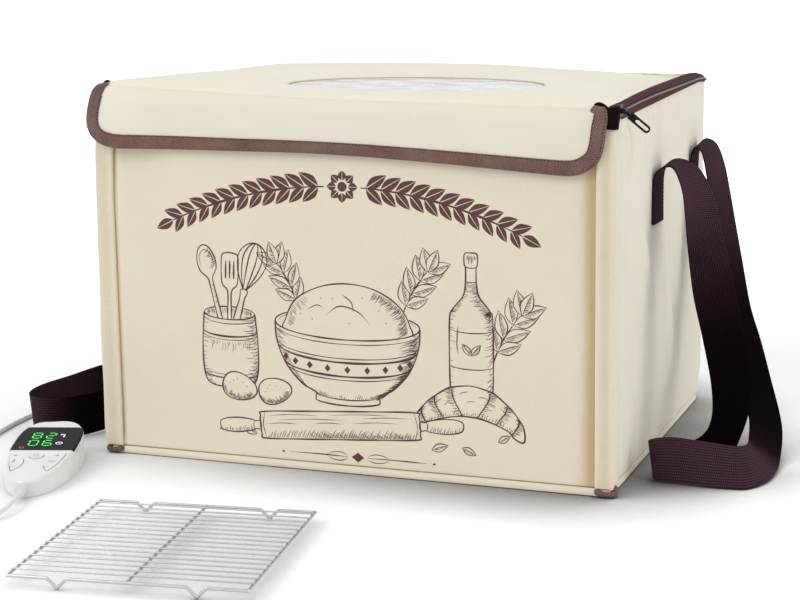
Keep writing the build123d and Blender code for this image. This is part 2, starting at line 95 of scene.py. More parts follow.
# ---- node helpers ----
class Wiring:
    """Adds nodes to one tree; a socket, number or colour may be given as any input."""

    def __init__(self, tree):
        self.tree = tree

    def feed(self, socket, value):
        if isinstance(value, bpy.types.NodeSocket):
            self.tree.links.new(value, socket)
        elif value is not None:
            if hasattr(socket.default_value, "__len__") and not hasattr(value, "__len__"):
                value = [value] * len(socket.default_value)
            if hasattr(value, "__len__") and len(value) == 3 and len(socket.default_value) == 4:
                value = (*value, 1.0)
            socket.default_value = value

    def node(self, kind, inputs=(), **settings):
        made = self.tree.nodes.new(kind)
        for key, value in settings.items():
            setattr(made, key, value)
        pairs = inputs.items() if isinstance(inputs, dict) else enumerate(inputs)
        for key, value in pairs:
            self.feed(made.inputs[key], value)
        return made

    def math(self, operation, *inputs):
        return self.node("ShaderNodeMath", inputs, operation=operation).outputs[0]

    def vector(self, operation, *inputs):
        return self.node("ShaderNodeVectorMath", inputs, operation=operation).outputs[0]

    def blend(self, factor, a, b):
        made = self.node("ShaderNodeMix", data_type="RGBA")
        for place, value in ((0, factor), (6, a), (7, b)):
            self.feed(made.inputs[place], value)
        return made.outputs[2]

    def span(self, value, low=0.0, high=1.0, out_low=0.0, out_high=1.0):
        """The value eased from one range to another."""
        inputs = (value, low, high, out_low, out_high)
        return self.node("ShaderNodeMapRange", inputs, interpolation_type="SMOOTHSTEP").outputs[0]

    def noise(self, place, scale, detail=3.0, rough=0.55):
        inputs = {"Vector": place, "Scale": scale, "Detail": detail, "Roughness": rough}
        return self.node("ShaderNodeTexNoise", inputs).outputs["Fac"]

    def group(self, tree, **inputs):
        made = self.node("ShaderNodeGroup", node_tree=tree)
        for key, value in inputs.items():
            self.feed(made.inputs[key.replace("_", " ").capitalize()], value)
        return made.outputs


def new_group(name, inputs, outputs):
    """A shader node group with named inputs {name: default} and float outputs."""
    tree = bpy.data.node_groups.new(name, "ShaderNodeTree")
    for key, default in inputs.items():
        kind = "NodeSocketVector" if default == "vector" else "NodeSocketFloat"
        socket = tree.interface.new_socket(key, in_out="INPUT", socket_type=kind)
        if kind == "NodeSocketFloat":
            socket.default_value = default
    for key in outputs:
        tree.interface.new_socket(key, in_out="OUTPUT", socket_type="NodeSocketFloat")
    wires = Wiring(tree)
    return tree, wires, wires.node("NodeGroupInput").outputs, wires.node("NodeGroupOutput").inputs


def plain_weave_group():
    """Threads over and under each other, with thick and thin places along them."""
    tree, w, given, out = new_group(
        "plain_weave", {"Place": "vector", "Pitch": 0.0006, "Slub": 0.5}, ("Height", "Shade"))
    pitch = w.node("ShaderNodeCombineXYZ", (given["Pitch"],) * 3).outputs[0]
    scaled = w.vector("DIVIDE", given["Place"], pitch)
    across, along, _ = w.node("ShaderNodeSeparateXYZ", (scaled,)).outputs
    wave = [w.math("SINE", w.math("MULTIPLY", x, math.pi)) for x in (across, along)]
    over = w.math("MULTIPLY", *wave)
    warp = w.noise(w.vector("MULTIPLY", given["Place"], (1500.0, 60.0, 60.0)), 1.0, 2.0)
    weft = w.noise(w.vector("MULTIPLY", given["Place"], (60.0, 1500.0, 60.0)), 1.0, 2.0)
    slubs = w.math("MULTIPLY", w.math("SUBTRACT", w.math("ADD", warp, weft), 1.0), given["Slub"])
    w.feed(out["Height"], w.math("MULTIPLY_ADD", over, 0.5, slubs))
    w.feed(out["Shade"], w.math("MULTIPLY_ADD", over, 0.12, slubs))
    return tree


def herringbone_group():
    """Diagonal twill ridges that turn back on themselves in lanes along the tape."""
    tree, w, given, out = new_group(
        "herringbone_twill", {"Place": "vector", "Pitch": 0.0021, "Lane": 0.0056}, ("Height", "Shade"))
    along, across, _ = w.node("ShaderNodeSeparateXYZ", (given["Place"],)).outputs
    slant = w.math("ADD", along, w.math("PINGPONG", across, given["Lane"]))
    phase = w.math("MULTIPLY", w.math("DIVIDE", slant, given["Pitch"]), 2 * math.pi)
    ridge = w.math("MULTIPLY_ADD", w.math("SINE", phase), 0.5, 0.5)
    fuzz = w.noise(given["Place"], 2600.0, 2.0)
    uneven = w.noise(given["Place"], 420.0, 3.0)
    w.feed(out["Height"], w.math("MULTIPLY_ADD", fuzz, 0.35, ridge))
    worn = w.math("MULTIPLY_ADD", fuzz, 0.6, 0.3)
    w.feed(out["Shade"], w.math("MULTIPLY", w.math("ADD", ridge, uneven), worn))
    return tree


def webbing_group():
    """Strap weave: ribs across, broken into staggered columns along the strap."""
    tree, w, given, out = new_group(
        "ribbed_webbing", {"Place": "vector", "Rib": 0.0017, "Column": 0.0024}, ("Height", "Shade"))
    along, across, _ = w.node("ShaderNodeSeparateXYZ", (given["Place"],)).outputs
    column = w.math("DIVIDE", across, given["Column"])
    stagger = w.math("MULTIPLY", w.math("FLOOR", column), 0.5)
    row = w.math("ADD", w.math("DIVIDE", along, given["Rib"]), stagger)
    rib = w.math("ABSOLUTE", w.math("SINE", w.math("MULTIPLY", row, math.pi)))
    yarn = w.math("ABSOLUTE", w.math("SINE", w.math("MULTIPLY", column, math.pi)))
    cell = w.math("MULTIPLY", w.math("POWER", rib, 0.7), w.math("POWER", yarn, 0.35))
    fibre = w.noise(w.vector("MULTIPLY", given["Place"], (400.0, 2600.0, 400.0)), 1.0, 2.0)
    w.feed(out["Height"], w.math("MULTIPLY_ADD", fibre, 0.25, cell))
    w.feed(out["Shade"], w.math("MULTIPLY", cell, w.math("MULTIPLY_ADD", fibre, 0.7, 0.65)))
    return tree


def handling_group():
    """Uneven tone and finish left by making and use: broad clouds, fine specks and rubbed patches."""
    tree, w, given, out = new_group(
        "handling", {"Place": "vector", "Size": 0.05, "Rub": 0.3}, ("Cloud", "Speck", "Rubbed"))
    scale = w.math("DIVIDE", 1.0, given["Size"])
    cloud = w.noise(given["Place"], scale, 4.0)
    speck = w.noise(given["Place"], w.math("MULTIPLY", scale, 40.0), 2.0)
    rubbed = w.span(w.noise(given["Place"], w.math("MULTIPLY", scale, 2.3), 5.0, 0.7), 0.55, 0.8)
    w.feed(out["Cloud"], w.math("SUBTRACT", cloud, 0.5))
    w.feed(out["Speck"], w.math("SUBTRACT", speck, 0.5))
    w.feed(out["Rubbed"], w.math("MULTIPLY", rubbed, given["Rub"]))
    return tree


PLAIN_WEAVE = plain_weave_group()
HERRINGBONE = herringbone_group()
WEBBING = webbing_group()
HANDLING = handling_group()


def new_material(name, **plain):
    """A Principled material; plain values go straight to the shader's sockets, named with underscores."""
    material = bpy.data.materials.new(name)
    material.use_nodes = True
    wires = Wiring(material.node_tree)
    shader = material.node_tree.nodes["Principled BSDF"]
    for key, value in plain.items():
        wires.feed(shader.inputs[key.replace("_", " ")], value)
    return material, wires, shader.inputs


def cloth_place(w):
    return w.node("ShaderNodeAttribute", attribute_name="cloth_place").outputs["Vector"]


# Painted shade: a point attribute from 0 to 1 that takes a surface towards its deep colour.
def painted_shade_value(w):
    return w.node("ShaderNodeAttribute", attribute_name="crease").outputs["Fac"]


def solid_place(w):
    return w.node("ShaderNodeTexCoord").outputs["Object"]


def finish_surface(w, shader, tone, low_colour, high_colour, rough, bump):
    """Colour by tone, roughness as (source, share, base), and bump as (height, strength, distance)."""
    w.feed(shader["Base Color"], w.blend(tone, low_colour, high_colour))
    w.feed(shader["Roughness"], w.math("MULTIPLY_ADD", *rough))
    if bump:
        height, strength, distance = bump
        made = w.node("ShaderNodeBump", {"Strength": strength, "Distance": distance, "Height": height})
        w.feed(shader["Normal"], made.outputs[0])


def darker(colour, share):
    return [c * share for c in colour]


def cloth(name, colour, deep, pitch=0.0006, slub=0.5, rough=0.86, sheen=0.12, lift=0.00012, **plain):
    """Woven cloth that goes towards the deep colour in its weave's dips and under painted shade."""
    material, w, shader = new_material(
        name, Sheen_Weight=sheen, Sheen_Roughness=0.5, Specular_IOR_Level=0.3, **plain)
    place = cloth_place(w)
    weave = w.group(PLAIN_WEAVE, place=place, pitch=pitch, slub=slub)
    worn = w.group(HANDLING, place=place, size=0.09, rub=0.3)
    tone = w.math("ADD", w.math("MULTIPLY", weave["Shade"], 0.22), w.math("MULTIPLY", worn["Cloud"], 0.35))
    # painted shade from the point attribute, added to the dips in the weave's tone
    painted_shade_and_weave_dip = w.math("ADD", painted_shade_value(w), w.math("SUBTRACT", 0.12, tone))
    finish_surface(w, shader, w.span(painted_shade_and_weave_dip), colour, deep,
                   (worn["Speck"], 0.12, rough), (weave["Height"], 0.5, lift))
    return material


def twill(name, colour, deep):
    """Herringbone tape."""
    material, w, shader = new_material(name, Sheen_Weight=0.12, Sheen_Roughness=0.45, Specular_IOR_Level=0.2)
    place = cloth_place(w)
    weave = w.group(HERRINGBONE, place=place)
    worn = w.group(HANDLING, place=place, size=0.03, rub=0.4)
    tone = w.math("ADD", weave["Shade"], w.math("MULTIPLY", worn["Cloud"], 0.8))
    finish_surface(w, shader, w.span(tone), deep, colour,
                   (worn["Speck"], 0.15, 0.78), (weave["Height"], 0.7, 0.0003))
    return material


def webbing(name, colour, deep):
    """Ribbed strap; painted shade darkens the stretches that lie in shade, turned in towards the box."""
    material, w, shader = new_material(name, Specular_IOR_Level=0.2, IOR=1.1)
    place = cloth_place(w)
    weave = w.group(WEBBING, place=place)
    worn = w.group(HANDLING, place=place, size=0.06, rub=0.5)
    tone = w.math("ADD", weave["Shade"], w.math("MULTIPLY", worn["Cloud"], 0.5))
    # painted shade darkens the strap's tone
    tone = w.math("MULTIPLY", tone, w.math("SUBTRACT", 1.0, painted_shade_value(w)))
    finish_surface(w, shader, w.span(tone), deep, colour,
                   (weave["Height"], -0.12, 0.8), (weave["Height"], 0.8, 0.0005))
    return material


def moulded(name, colour, rough=0.3, coat=0.0, **plain):
    """Moulded plastic with a fine grain and faint handling marks."""
    material, w, shader = new_material(name, Coat_Weight=coat, Coat_Roughness=0.08, **plain)
    worn = w.group(HANDLING, place=solid_place(w), size=0.02, rub=0.35)
    finish_surface(w, shader, w.span(worn["Cloud"], -0.4, 0.4, 0.0, 0.5), colour, darker(colour, 0.86),
                   (worn["Rubbed"], 0.25, rough), (worn["Speck"], 0.4, 0.00002))
    return material


def metal(name, colour, rough):
    """Bright metal with faint scuffs."""
    material, w, shader = new_material(name, Metallic=1.0)
    worn = w.group(HANDLING, place=solid_place(w), size=0.015, rub=0.3)
    finish_surface(w, shader, w.span(worn["Cloud"], -0.4, 0.4, 0.0, 0.6), colour, darker(colour, 0.7),
                   (worn["Rubbed"], 0.35, rough), (worn["Speck"], 0.3, 0.00003))
    return material


def foil(name, colour):
    """Crinkled foil laminated on cloth, for the linings."""
    material, w, shader = new_material(name, Metallic=0.85, Specular_IOR_Level=0.5)
    place = cloth_place(w)
    worn = w.group(HANDLING, place=place, size=0.012, rub=0.6)
    weave = w.group(PLAIN_WEAVE, place=place, pitch=0.003, slub=0.3)
    crinkle = w.math("ADD", worn["Cloud"], w.math("MULTIPLY", weave["Height"], 0.2))
    finish_surface(w, shader, w.span(worn["Cloud"], -0.3, 0.3), colour, darker(colour, 0.8),
                   (worn["Rubbed"], 0.3, 0.32), (crinkle, 0.6, 0.0012))
    return material


def clear_film(name):
    """Soft clear vinyl, partly see-through: its pale bluish white is painted reflection of the white
    surround, and it is milky where it is rubbed.
    """
    material, w, shader = new_material(name, Specular_IOR_Level=0.9)
    worn = w.group(HANDLING, place=solid_place(w), size=0.03, rub=0.5)
    milky = w.span(worn["Cloud"], -0.3, 0.3)
    # Painted reflection: the sheet is drawn 0.66 to 0.86 opaque in pale bluish white.
    w.feed(shader["Alpha"], w.math("MULTIPLY_ADD", milky, 0.2, 0.66))
    finish_surface(w, shader, milky, (0.88, 0.91, 0.99), (0.98, 0.985, 1.0),
                   (worn["Rubbed"], 0.12, 0.06), (worn["Cloud"], 0.3, 0.0015))
    return material


def display_glass(name):
    """Near-black window over the display."""
    material, w, shader = new_material(name, Specular_IOR_Level=0.3, IOR=1.12)
    worn = w.group(HANDLING, place=solid_place(w), size=0.03, rub=0.3)
    finish_surface(w, shader, w.span(worn["Cloud"], -0.4, 0.4),
                   (0.004, 0.004, 0.005), (0.012, 0.012, 0.013), (worn["Rubbed"], 0.1, 0.28), None)
    return material


def lamp_mark(name, colour, strength):
    """A lit segment behind the dark display."""
    material, w, shader = new_material(name, Emission_Strength=strength, Roughness=0.4)
    worn = w.group(HANDLING, place=solid_place(w), size=0.004, rub=0.2)
    lit = w.blend(w.span(worn["Cloud"], -0.4, 0.4, 0.0, 0.4), colour, darker(colour, 0.6))
    for key in ("Base Color", "Emission Color"):
        w.feed(shader[key], lit)
    return material


# Each cloth's second colour is the one that painted shade and the dips of its weave take it towards.
LINEN = cloth("cream_linen", (0.83, 0.76, 0.62), (0.60, 0.45, 0.24), slub=1.0, rough=0.9)
OXFORD = cloth("cream_oxford", (0.84, 0.80, 0.67), (0.62, 0.50, 0.28), pitch=0.0005, slub=0.35, rough=0.8,
               sheen=0.2)
PRINT_INK = cloth("print_ink", (0.115, 0.050, 0.048), (0.07, 0.03, 0.03), slub=1.0, rough=0.75, sheen=0.0)
BINDING = twill("binding_twill", (0.275, 0.163, 0.144), (0.040, 0.017, 0.016))
STRAP_WEB = webbing("strap_webbing", (0.094, 0.046, 0.064), (0.0030, 0.0014, 0.0020))
ZIP_TAPE = cloth("zip_tape", (0.078, 0.036, 0.038), (0.010, 0.004, 0.005), pitch=0.0009, slub=0.5, rough=0.7,
                 sheen=0.0, IOR=1.12)
COIL = moulded("zip_coil", (0.030, 0.014, 0.016), rough=0.3)
# A painted highlight: the pale line along each zip's coil.
COIL_PAINTED_HIGHLIGHT = cloth("coil_painted_highlight", (0.44, 0.38, 0.40), (0.2, 0.15, 0.16), pitch=0.0004, sheen=0.0)
THREAD_BROWN = cloth("brown_thread", (0.045, 0.018, 0.017), (0.02, 0.008, 0.008), pitch=0.0004, sheen=0.0)
PILE = cloth("hook_and_loop_pile", (0.05, 0.022, 0.022), (0.015, 0.007, 0.007), pitch=0.0011, slub=1.5,
             lift=0.0006)
LINING = foil("foil_lining", (0.72, 0.73, 0.74))
MAT_CLOTH = cloth("mat_cloth", (0.10, 0.10, 0.11), (0.03, 0.03, 0.035), pitch=0.0008, slub=0.8)
FILM = clear_film("window_film")
WHITE_SHELL = moulded("white_shell", (0.82, 0.82, 0.82), rough=0.22, coat=0.4)
WHITE_RUBBER = moulded("white_rubber", (0.80, 0.80, 0.79), rough=0.45)
DISPLAY = display_glass("display_glass")
BLACK_METAL = moulded("black_enamelled_metal", (0.012, 0.012, 0.014), rough=0.35, coat=0.04, IOR=1.12)
CHROME = metal("bright_chrome", (0.62, 0.625, 0.64), rough=0.16)
STEEL = metal("screw_steel", (0.5, 0.5, 0.5), rough=0.25)
BOARD = moulded("foam_board", (0.55, 0.45, 0.32), rough=0.9)
GREEN_BOARD = moulded("circuit_board_green", (0.02, 0.14, 0.05), rough=0.45)
MODULE_GREY = moulded("display_module_grey", (0.08, 0.08, 0.09), rough=0.5)
LIT_GREEN = lamp_mark("lit_green", (0.03, 0.75, 0.10), 1.2)
LIT_RED = lamp_mark("lit_red", (0.55, 0.02, 0.08), 0.9)
LIT_WHITE = lamp_mark("lit_white", (0.85, 0.85, 0.85), 0.9)
ICON_GREY = moulded("icon_grey", (0.12, 0.12, 0.125), rough=0.5)

NODE_FINISH = {
    "foam_board": BOARD, "lining_foil": LINING, "board_green": GREEN_BOARD, "hook_and_loop": PILE,
    "cord_white": WHITE_RUBBER, "controller_white": WHITE_SHELL, "screw_steel": STEEL,
    "module_grey": MODULE_GREY, "display_black": DISPLAY, "mat_fabric": MAT_CLOTH, "zip_metal": BLACK_METAL,
    "window_film": FILM, "rack_chrome": CHROME, "zip_tape": ZIP_TAPE, "webbing": STRAP_WEB,
    "cream_fabric": OXFORD, "twill_binding": BINDING,
}
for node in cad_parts.values():
    for slot in node.material_slots:
        slot.material = NODE_FINISH[slot.material.name]


# ---- mesh helpers ----
def columns(*parts):
    """Points from their coordinates, each an array or one number."""
    return np.stack(np.broadcast_arrays(*parts), -1).astype(float)


def level_ring(ring, height):
    """Flat points raised to a height."""
    return columns(*ring.T, height)


def smooth_step(x):
    x = np.clip(x, 0.0, 1.0)
    return x * x * (3 - 2 * x)


def bell(x, middle, width):
    """One in the middle, dying away to both sides."""
    return np.exp(-((x - middle) / width) ** 2)


def from_table(x, table):
    """The value at x of a line through rows of (x, value)."""
    return np.interp(x, *zip(*table))


def run_length(line):
    """The way along a line up to each of its points."""
    return np.concatenate([[0], np.cumsum(np.linalg.norm(np.diff(line, axis=0), axis=1))])


def headings(line):
    """The unit direction of a line at each of its points."""
    way = np.gradient(line, axis=0)
    return way / (np.linalg.norm(way, axis=1)[:, None] + 1e-9)


def left_hand(line):
    """The unit direction to the left of a flat line at each of its points."""
    way = headings(line)
    return np.stack([-way[:, 1], way[:, 0]], -1)


# How far each side wall stands out, by height, and how far the right one is pushed up at its top, by depth.
RIGHT_LEAN = ((0, 3.4), (60, 2.7), (114, 1.9), (200, 1.1), (258, 0.5), (306, 0.0))
LEFT_LEAN = ((0, -2.6), (50, -2.9), (100, -3.3), (226, -5.2), (262, -4.2), (292, -1.6), (306, 0.0))
ZIP_RISE = (
    (-186, -0.6), (-150, -0.2), (-103, 1.5), (-41, 2.9), (61, 3.7), (150, 4.6), (176, 3.4), (190, 0.5))


def settle(points):
    """The walls stand a little askew, as soft walls do: they spread at the foot and the left one bows out.
    What hangs well clear of them stays where it is."""
    x, y, z = points.T
    left, right = from_table(z, LEFT_LEAN), from_table(z, RIGHT_LEAN)
    near = 1 - smooth_step((np.abs(x) - 227.0) / 26.0)
    at_zip = smooth_step((x - 196.0) / 20.0) * smooth_step((z - 225.0) / 76.0)
    moved = points.copy()
    moved[:, 0] += (left + (right - left) * (np.clip(x / WIDE, -1, 1) + 1) / 2) * near
    moved[:, 2] += from_table(y, ZIP_RISE) * at_zip
    return moved


class Cut:
    """One piece being made: points and faces in millimetres, and each point's place on the flat cloth and
    share of painted shade."""

    def __init__(self):
        self.points, self.places, self.creases, self.faces, self.count = [], [], [], [], 0

    def add(self, points, places=None, creases=None):
        points = np.asarray(points, float).reshape(-1, 3)
        start, self.count = self.count, self.count + len(points)
        self.points.append(points)
        self.places.append(points if places is None else np.asarray(places, float).reshape(-1, 3))
        self.creases.append(np.zeros(len(points)) if creases is None else np.asarray(creases, float).ravel())
        return start

    def grid(self, points, places=None, creases=None, close_columns=False, flip=False):
        """Faces over an array of rows of points."""
        points = np.asarray(points, float)
        start = self.add(points, places, creases)
        index = start + np.arange(points[..., 0].size).reshape(points.shape[:2])
        self.quads(index, close_columns, flip)
        return start

    def quads(self, index, close_columns=False, flip=False):
        if close_columns:
            index = np.hstack([index, index[:, :1]])
        a, b, c, d = index[:-1, :-1], index[:-1, 1:], index[1:, 1:], index[1:, :-1]
        made = np.stack([a, d, c, b] if flip else [a, b, c, d], -1).reshape(-1, 4)
        self.faces.extend(map(tuple, made.tolist()))

    def fill(self, loop):
        self.faces.append(tuple(loop))

    def loft(self, rings, places=None, creases=None, flip=False):
        """A closed form through rings of points, with a face over each end."""
        start, count = self.grid(rings, places, creases, close_columns=True, flip=flip), len(rings[0])
        last = start + (len(rings) - 1) * count
        for first, back in ((start, not flip), (last, flip)):
            end = range(first, first + count)
            self.fill(reversed(end) if back else end)

    def make(self, name, material, body=None, smooth=True, settled=True):
        mesh = bpy.data.meshes.new(name)
        points = np.vstack(self.points)
        if settled:
            points = settle(points)
        mesh.from_pydata((points * MM).tolist(), [], self.faces)
        places = mesh.attributes.new("cloth_place", "FLOAT_VECTOR", "POINT")
        places.data.foreach_set("vector", (np.vstack(self.places) * MM).astype(np.float32).ravel())
        # painted shade, from 0 to 1 at each point
        creases = mesh.attributes.new("crease", "FLOAT", "POINT")
        creases.data.foreach_set("value", np.concatenate(self.creases).astype(np.float32))
        mesh.polygons.foreach_set("use_smooth", [smooth] * len(mesh.polygons))
        mesh.materials.append(material)
        mesh.update()
        piece = place_object(name, mesh)
        if body:
            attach(piece, body)
        return piece


def lines_between(low, high, step, edge):
    """Lattice lines about a step apart, with closer ones where the edge turns over."""
    turn = edge * (1 - np.cos(np.linspace(0, math.pi / 2, 6)))[:-1]
    inner = np.linspace(low + edge, high - edge, max(2, int(round((high - low) / step)) + 1))
    return np.concatenate([low + turn, inner, (high - turn)[::-1]])


def rounded_lattice(u_range, v_range, step, edge, corners, plain=""):
    """Lattice over a panel with rounded corners: u, v, how far the turned edge drops, and the way in from it.
    corners gives the four corner radii: low u low v, high u low v, high u high v, low u high v.
    plain names the end of u, low or high, where the cloth runs on and doesn't turn."""
    us = lines_between(*u_range, step, edge)
    vs = lines_between(*v_range, step, edge)
    u, v = np.meshgrid(us, vs)
    to_low_u, to_high_u = u - u_range[0], u_range[1] - u
    to_low_v, to_high_v = v - v_range[0], v_range[1] - v
    if plain == "low":
        to_low_u = to_low_u + 1000.0
    if plain == "high":
        to_high_u = to_high_u + 1000.0
    inside = np.minimum(np.minimum(to_low_u, to_high_u), np.minimum(to_low_v, to_high_v))
    new_u, new_v = u.copy(), v.copy()
    spots = ((to_low_u, to_low_v, 1, 1), (to_high_u, to_low_v, -1, 1),
             (to_high_u, to_high_v, -1, -1), (to_low_u, to_high_v, 1, -1))
    for (du, dv, su, sv), radius in zip(spots, corners):
        here = (du < radius) & (dv < radius) & (radius > 0)
        a, b = radius - du[here], radius - dv[here]
        reach, length = np.maximum(a, b), np.hypot(a, b) + 1e-9
        a2, b2 = a * reach / length, b * reach / length
        new_u[here] += su * (a - a2)
        new_v[here] += sv * (b - b2)
        inside[here] = radius - reach
    lack = np.clip(edge - inside, 0, edge)
    return new_u, new_v, edge - np.sqrt(np.maximum(edge * edge - lack * lack, 0)), inside


def border(rows, across):
    """The places of a grid's outer points, in order round it."""
    index = np.arange(rows * across).reshape(rows, across)
    return np.concatenate([index[0, :-1], index[:-1, -1], index[-1, :0:-1], index[:0:-1, 0]])


RELIEF_MARGIN = 14.0     # how far in from a panel's edge its relief reaches its full height


def panel(name, material, at, u_range, v_range, thick, body=None, relief=None, step=7.0, edge=3.0,
          corners=(4, 4, 4, 4), hem=5.0, crease=None, plain="", settled=True):
    """A cloth panel over its board: a padded face, a turned edge, and a hem on the far side (0 closes it).
    at(u, v, d) gives the point a distance d out from the panel's face."""
    u, v, drop, inside = rounded_lattice(u_range, v_range, step, edge, corners, plain)
    rise = 0 if relief is None else relief(u, v) * smooth_step(inside / RELIEF_MARGIN)
    cut = Cut()
    flat = columns(u, v, 0)
    shade = None if crease is None else crease(u, v)
    start = cut.grid(columns(*at(u, v, rise - drop)), flat, shade)
    loop = border(*u.shape)
    edge_u, edge_v = u.ravel()[loop], v.ravel()[loop]
    middle_u, middle_v = sum(u_range) / 2, sum(v_range) / 2
    out = columns(edge_u - middle_u, edge_v - middle_v, 0)
    out /= np.linalg.norm(out, axis=1)[:, None] + 1e-9
    rings = [start + loop]
    turned = [(0.0, -thick + 0.8), (-0.8, -thick)]
    if hem:
        turned += [(-hem, -thick), (-hem, -thick + 0.6)]
    half_u, half_v = (u_range[1] - u_range[0]) / 2, (v_range[1] - v_range[0]) / 2
    for move, depth in turned:
        ru = middle_u + (edge_u - middle_u) * (1 + move / half_u)
        rv = middle_v + (edge_v - middle_v) * (1 + move / half_v)
        place = columns(edge_u, edge_v, 0) + out * (-depth - move)
        first = cut.add(columns(*at(ru, rv, depth)), place)
        rings.append(first + np.arange(len(loop)))
    cut.quads(np.array(rings), close_columns=True)
    if not hem:
        back_u = middle_u + (u - middle_u) * (1 - 1.6 / half_u)
        back_v = middle_v + (v - middle_v) * (1 - 1.6 / half_v)
        first = cut.grid(columns(*at(back_u, back_v, -thick)), flat, flip=True)
        cut.quads(np.array([rings[-1], first + loop]), close_columns=True)
    return cut.make(name, material, body, settled=settled)


def fold(u, v, start, end, width, height, tail=0.25):
    """A soft ridge or valley from start to end that dies away at both ends."""
    (u0, v0), (u1, v1) = start, end
    length = math.hypot(u1 - u0, v1 - v0)
    along = ((u - u0) * (u1 - u0) + (v - v0) * (v1 - v0)) / length ** 2
    across = ((u - u0) * (v1 - v0) - (v - v0) * (u1 - u0)) / length
    fade = smooth_step((along + tail) / (2 * tail)) * smooth_step((1 + tail - along) / (2 * tail))
    return height * np.exp(-(across / width) ** 2) * fade


def ripple(u, v, size, seed):
    """A slow, even undulation of about unit height."""
    a = np.sin(u / size * 1.7 + seed) * np.cos(v / size * 1.3 + 2.1 * seed)
    b = np.sin((u * 0.6 + v) / size * 2.9 + 1.3 * seed)
    return 0.6 * a + 0.4 * b


def smooth_curve(stations, per_span):
    """Points on a smooth line through the stations (an array of rows)."""
    p = np.asarray(stations, float)
    p = np.concatenate([[2 * p[0] - p[1]], p, [2 * p[-1] - p[-2]]])
    made = []
    for i in range(1, len(p) - 2):
        for t in np.arange(per_span) / per_span:
            a, b, c, d = p[i - 1:i + 3]
            bend, twist = 2 * a - 5 * b + 4 * c - d, 3 * b - a - 3 * c + d
            made.append(0.5 * (2 * b + (c - a) * t + bend * t ** 2 + twist * t ** 3))
    made.append(p[-2])
    return np.array(made)


def tube(cut, line, radius, sides=10):
    """A closed round tube of given radius (one number or one for each point) along a line."""
    line = np.asarray(line, float)
    radius = np.broadcast_to(np.asarray(radius, float), (len(line),))
    ways, length = headings(line), run_length(line)
    side = np.cross(ways[0], (0, 0, 1.0))
    if np.linalg.norm(side) < 0.1:
        side = np.cross(ways[0], (0, 1.0, 0))
    angles = np.linspace(0, 2 * math.pi, sides, endpoint=False)
    rings, places = [], []
    for centre, way, r, run in zip(line, ways, radius, length):
        side = side - way * np.dot(side, way)
        side /= np.linalg.norm(side)
        up = np.cross(side, way)
        rings.append([centre + r * (math.cos(a) * side + math.sin(a) * up) for a in angles])
        places.append([(run, a * r, 0) for a in angles])
    cut.loft(rings, places)


def stitches(cut, line, pitch=3.2, length=2.1, radius=0.32):
    """A row of short threads along a line."""
    line = np.asarray(line, float)
    total = run_length(line)
    swell = np.array([0.25, 0.85, 1.0, 0.85, 0.25]) * radius
    for s in np.arange(pitch / 2, total[-1] - length / 2, pitch):
        spots = s + np.array([-1, -0.5, 0, 0.5, 1]) * length / 2
        tube(cut, columns(*(np.interp(spots, total, part) for part in line.T)), swell, 6)


# ---- cord ----
CORD_POINTS = (
    (-214.6, -359.6, 7.5), (-209.5, -375.3, 7.5), (-207.5, -393.5, 5.6), (-212.5, -409.5, 3.4),
    (-225, -423, 2.4), (-243.5, -430, 2.2), (-263.5, -427, 2.2), (-281, -413.5, 2.2), (-293, -390, 2.2),
    (-300.5, -357, 2.2), (-308, -318, 2.2), (-318.5, -276, 2.2), (-332, -232, 2.2), (-344.5, -185.5, 2.2),
    (-352, -137, 2.2), (-353, -87, 2.2), (-350, -35.5, 2.2), (-345.5, 16, 2.2), (-341.5, 67, 2.2),
    (-335, 116, 2.2), (-319, 162, 2.2), (-287, 199, 2.2), (-249, 227, 2.2), (-213, 243, 2.2),
    (-190, 247.5, 2.3), (-171, 244, 2.6), (-156, 234.5, 3.1), (-150, 219, 3.6), (-150, 204, 3.6))


def make_cord():
    """The controller's lead, from its boot round the left side to the rear of the base."""
    curve = bpy.data.curves.new("controller_lead", "CURVE")
    curve.dimensions = "3D"
    line = curve.splines.new("NURBS")
    line.points.add(len(CORD_POINTS) - 1)
    for point, place in zip(line.points, CORD_POINTS):
        point.co = (*[x * MM for x in place], 1.0)
    line.order_u = 3
    line.use_endpoint_u = True
    line.resolution_u = 8
    curve.bevel_depth = 2.0 * MM
    curve.bevel_resolution = 4
    curve.use_fill_caps = True
    curve.materials.append(WHITE_RUBBER)
    cord = place_object("controller_lead", curve)
    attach(cord, "base")
    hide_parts("controller_cord")


make_cord()


# ---- box shell ----
def stand_in(piece, slot, *nodes):
    """The piece takes the place of CAD nodes, which are hidden; slot is not used."""
    if nodes:
        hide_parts(*nodes)
    return piece


# Slack folds of the side cloth: (y, z) of both ends, width and height; below nought is a valley.
SLACK_FOLDS = (((-30, 240), (40, 60), 17.0, 2.2), ((4, 232), (62, 92), 11.0, -2.4),
               ((-92, 206), (-20, 128), 13.0, 2.0), ((-70, 212), (-8, 120), 10.0, -1.6))
# Puckers under the zip: where along the seam each starts, how far it runs down and leans back, its height.
PUCKERS = (
    (-158, 44, 18, 3.2), (-142, 34, 15, 2.8), (-122, 26, 12, 2.2), (-102, 28, 14, 2.4), (-82, 22, 11, 1.8),
    (-60, 24, 12, 2.0), (-30, 20, 10, 1.6), (8, 18, 9, 1.4), (50, 20, 10, 1.4))


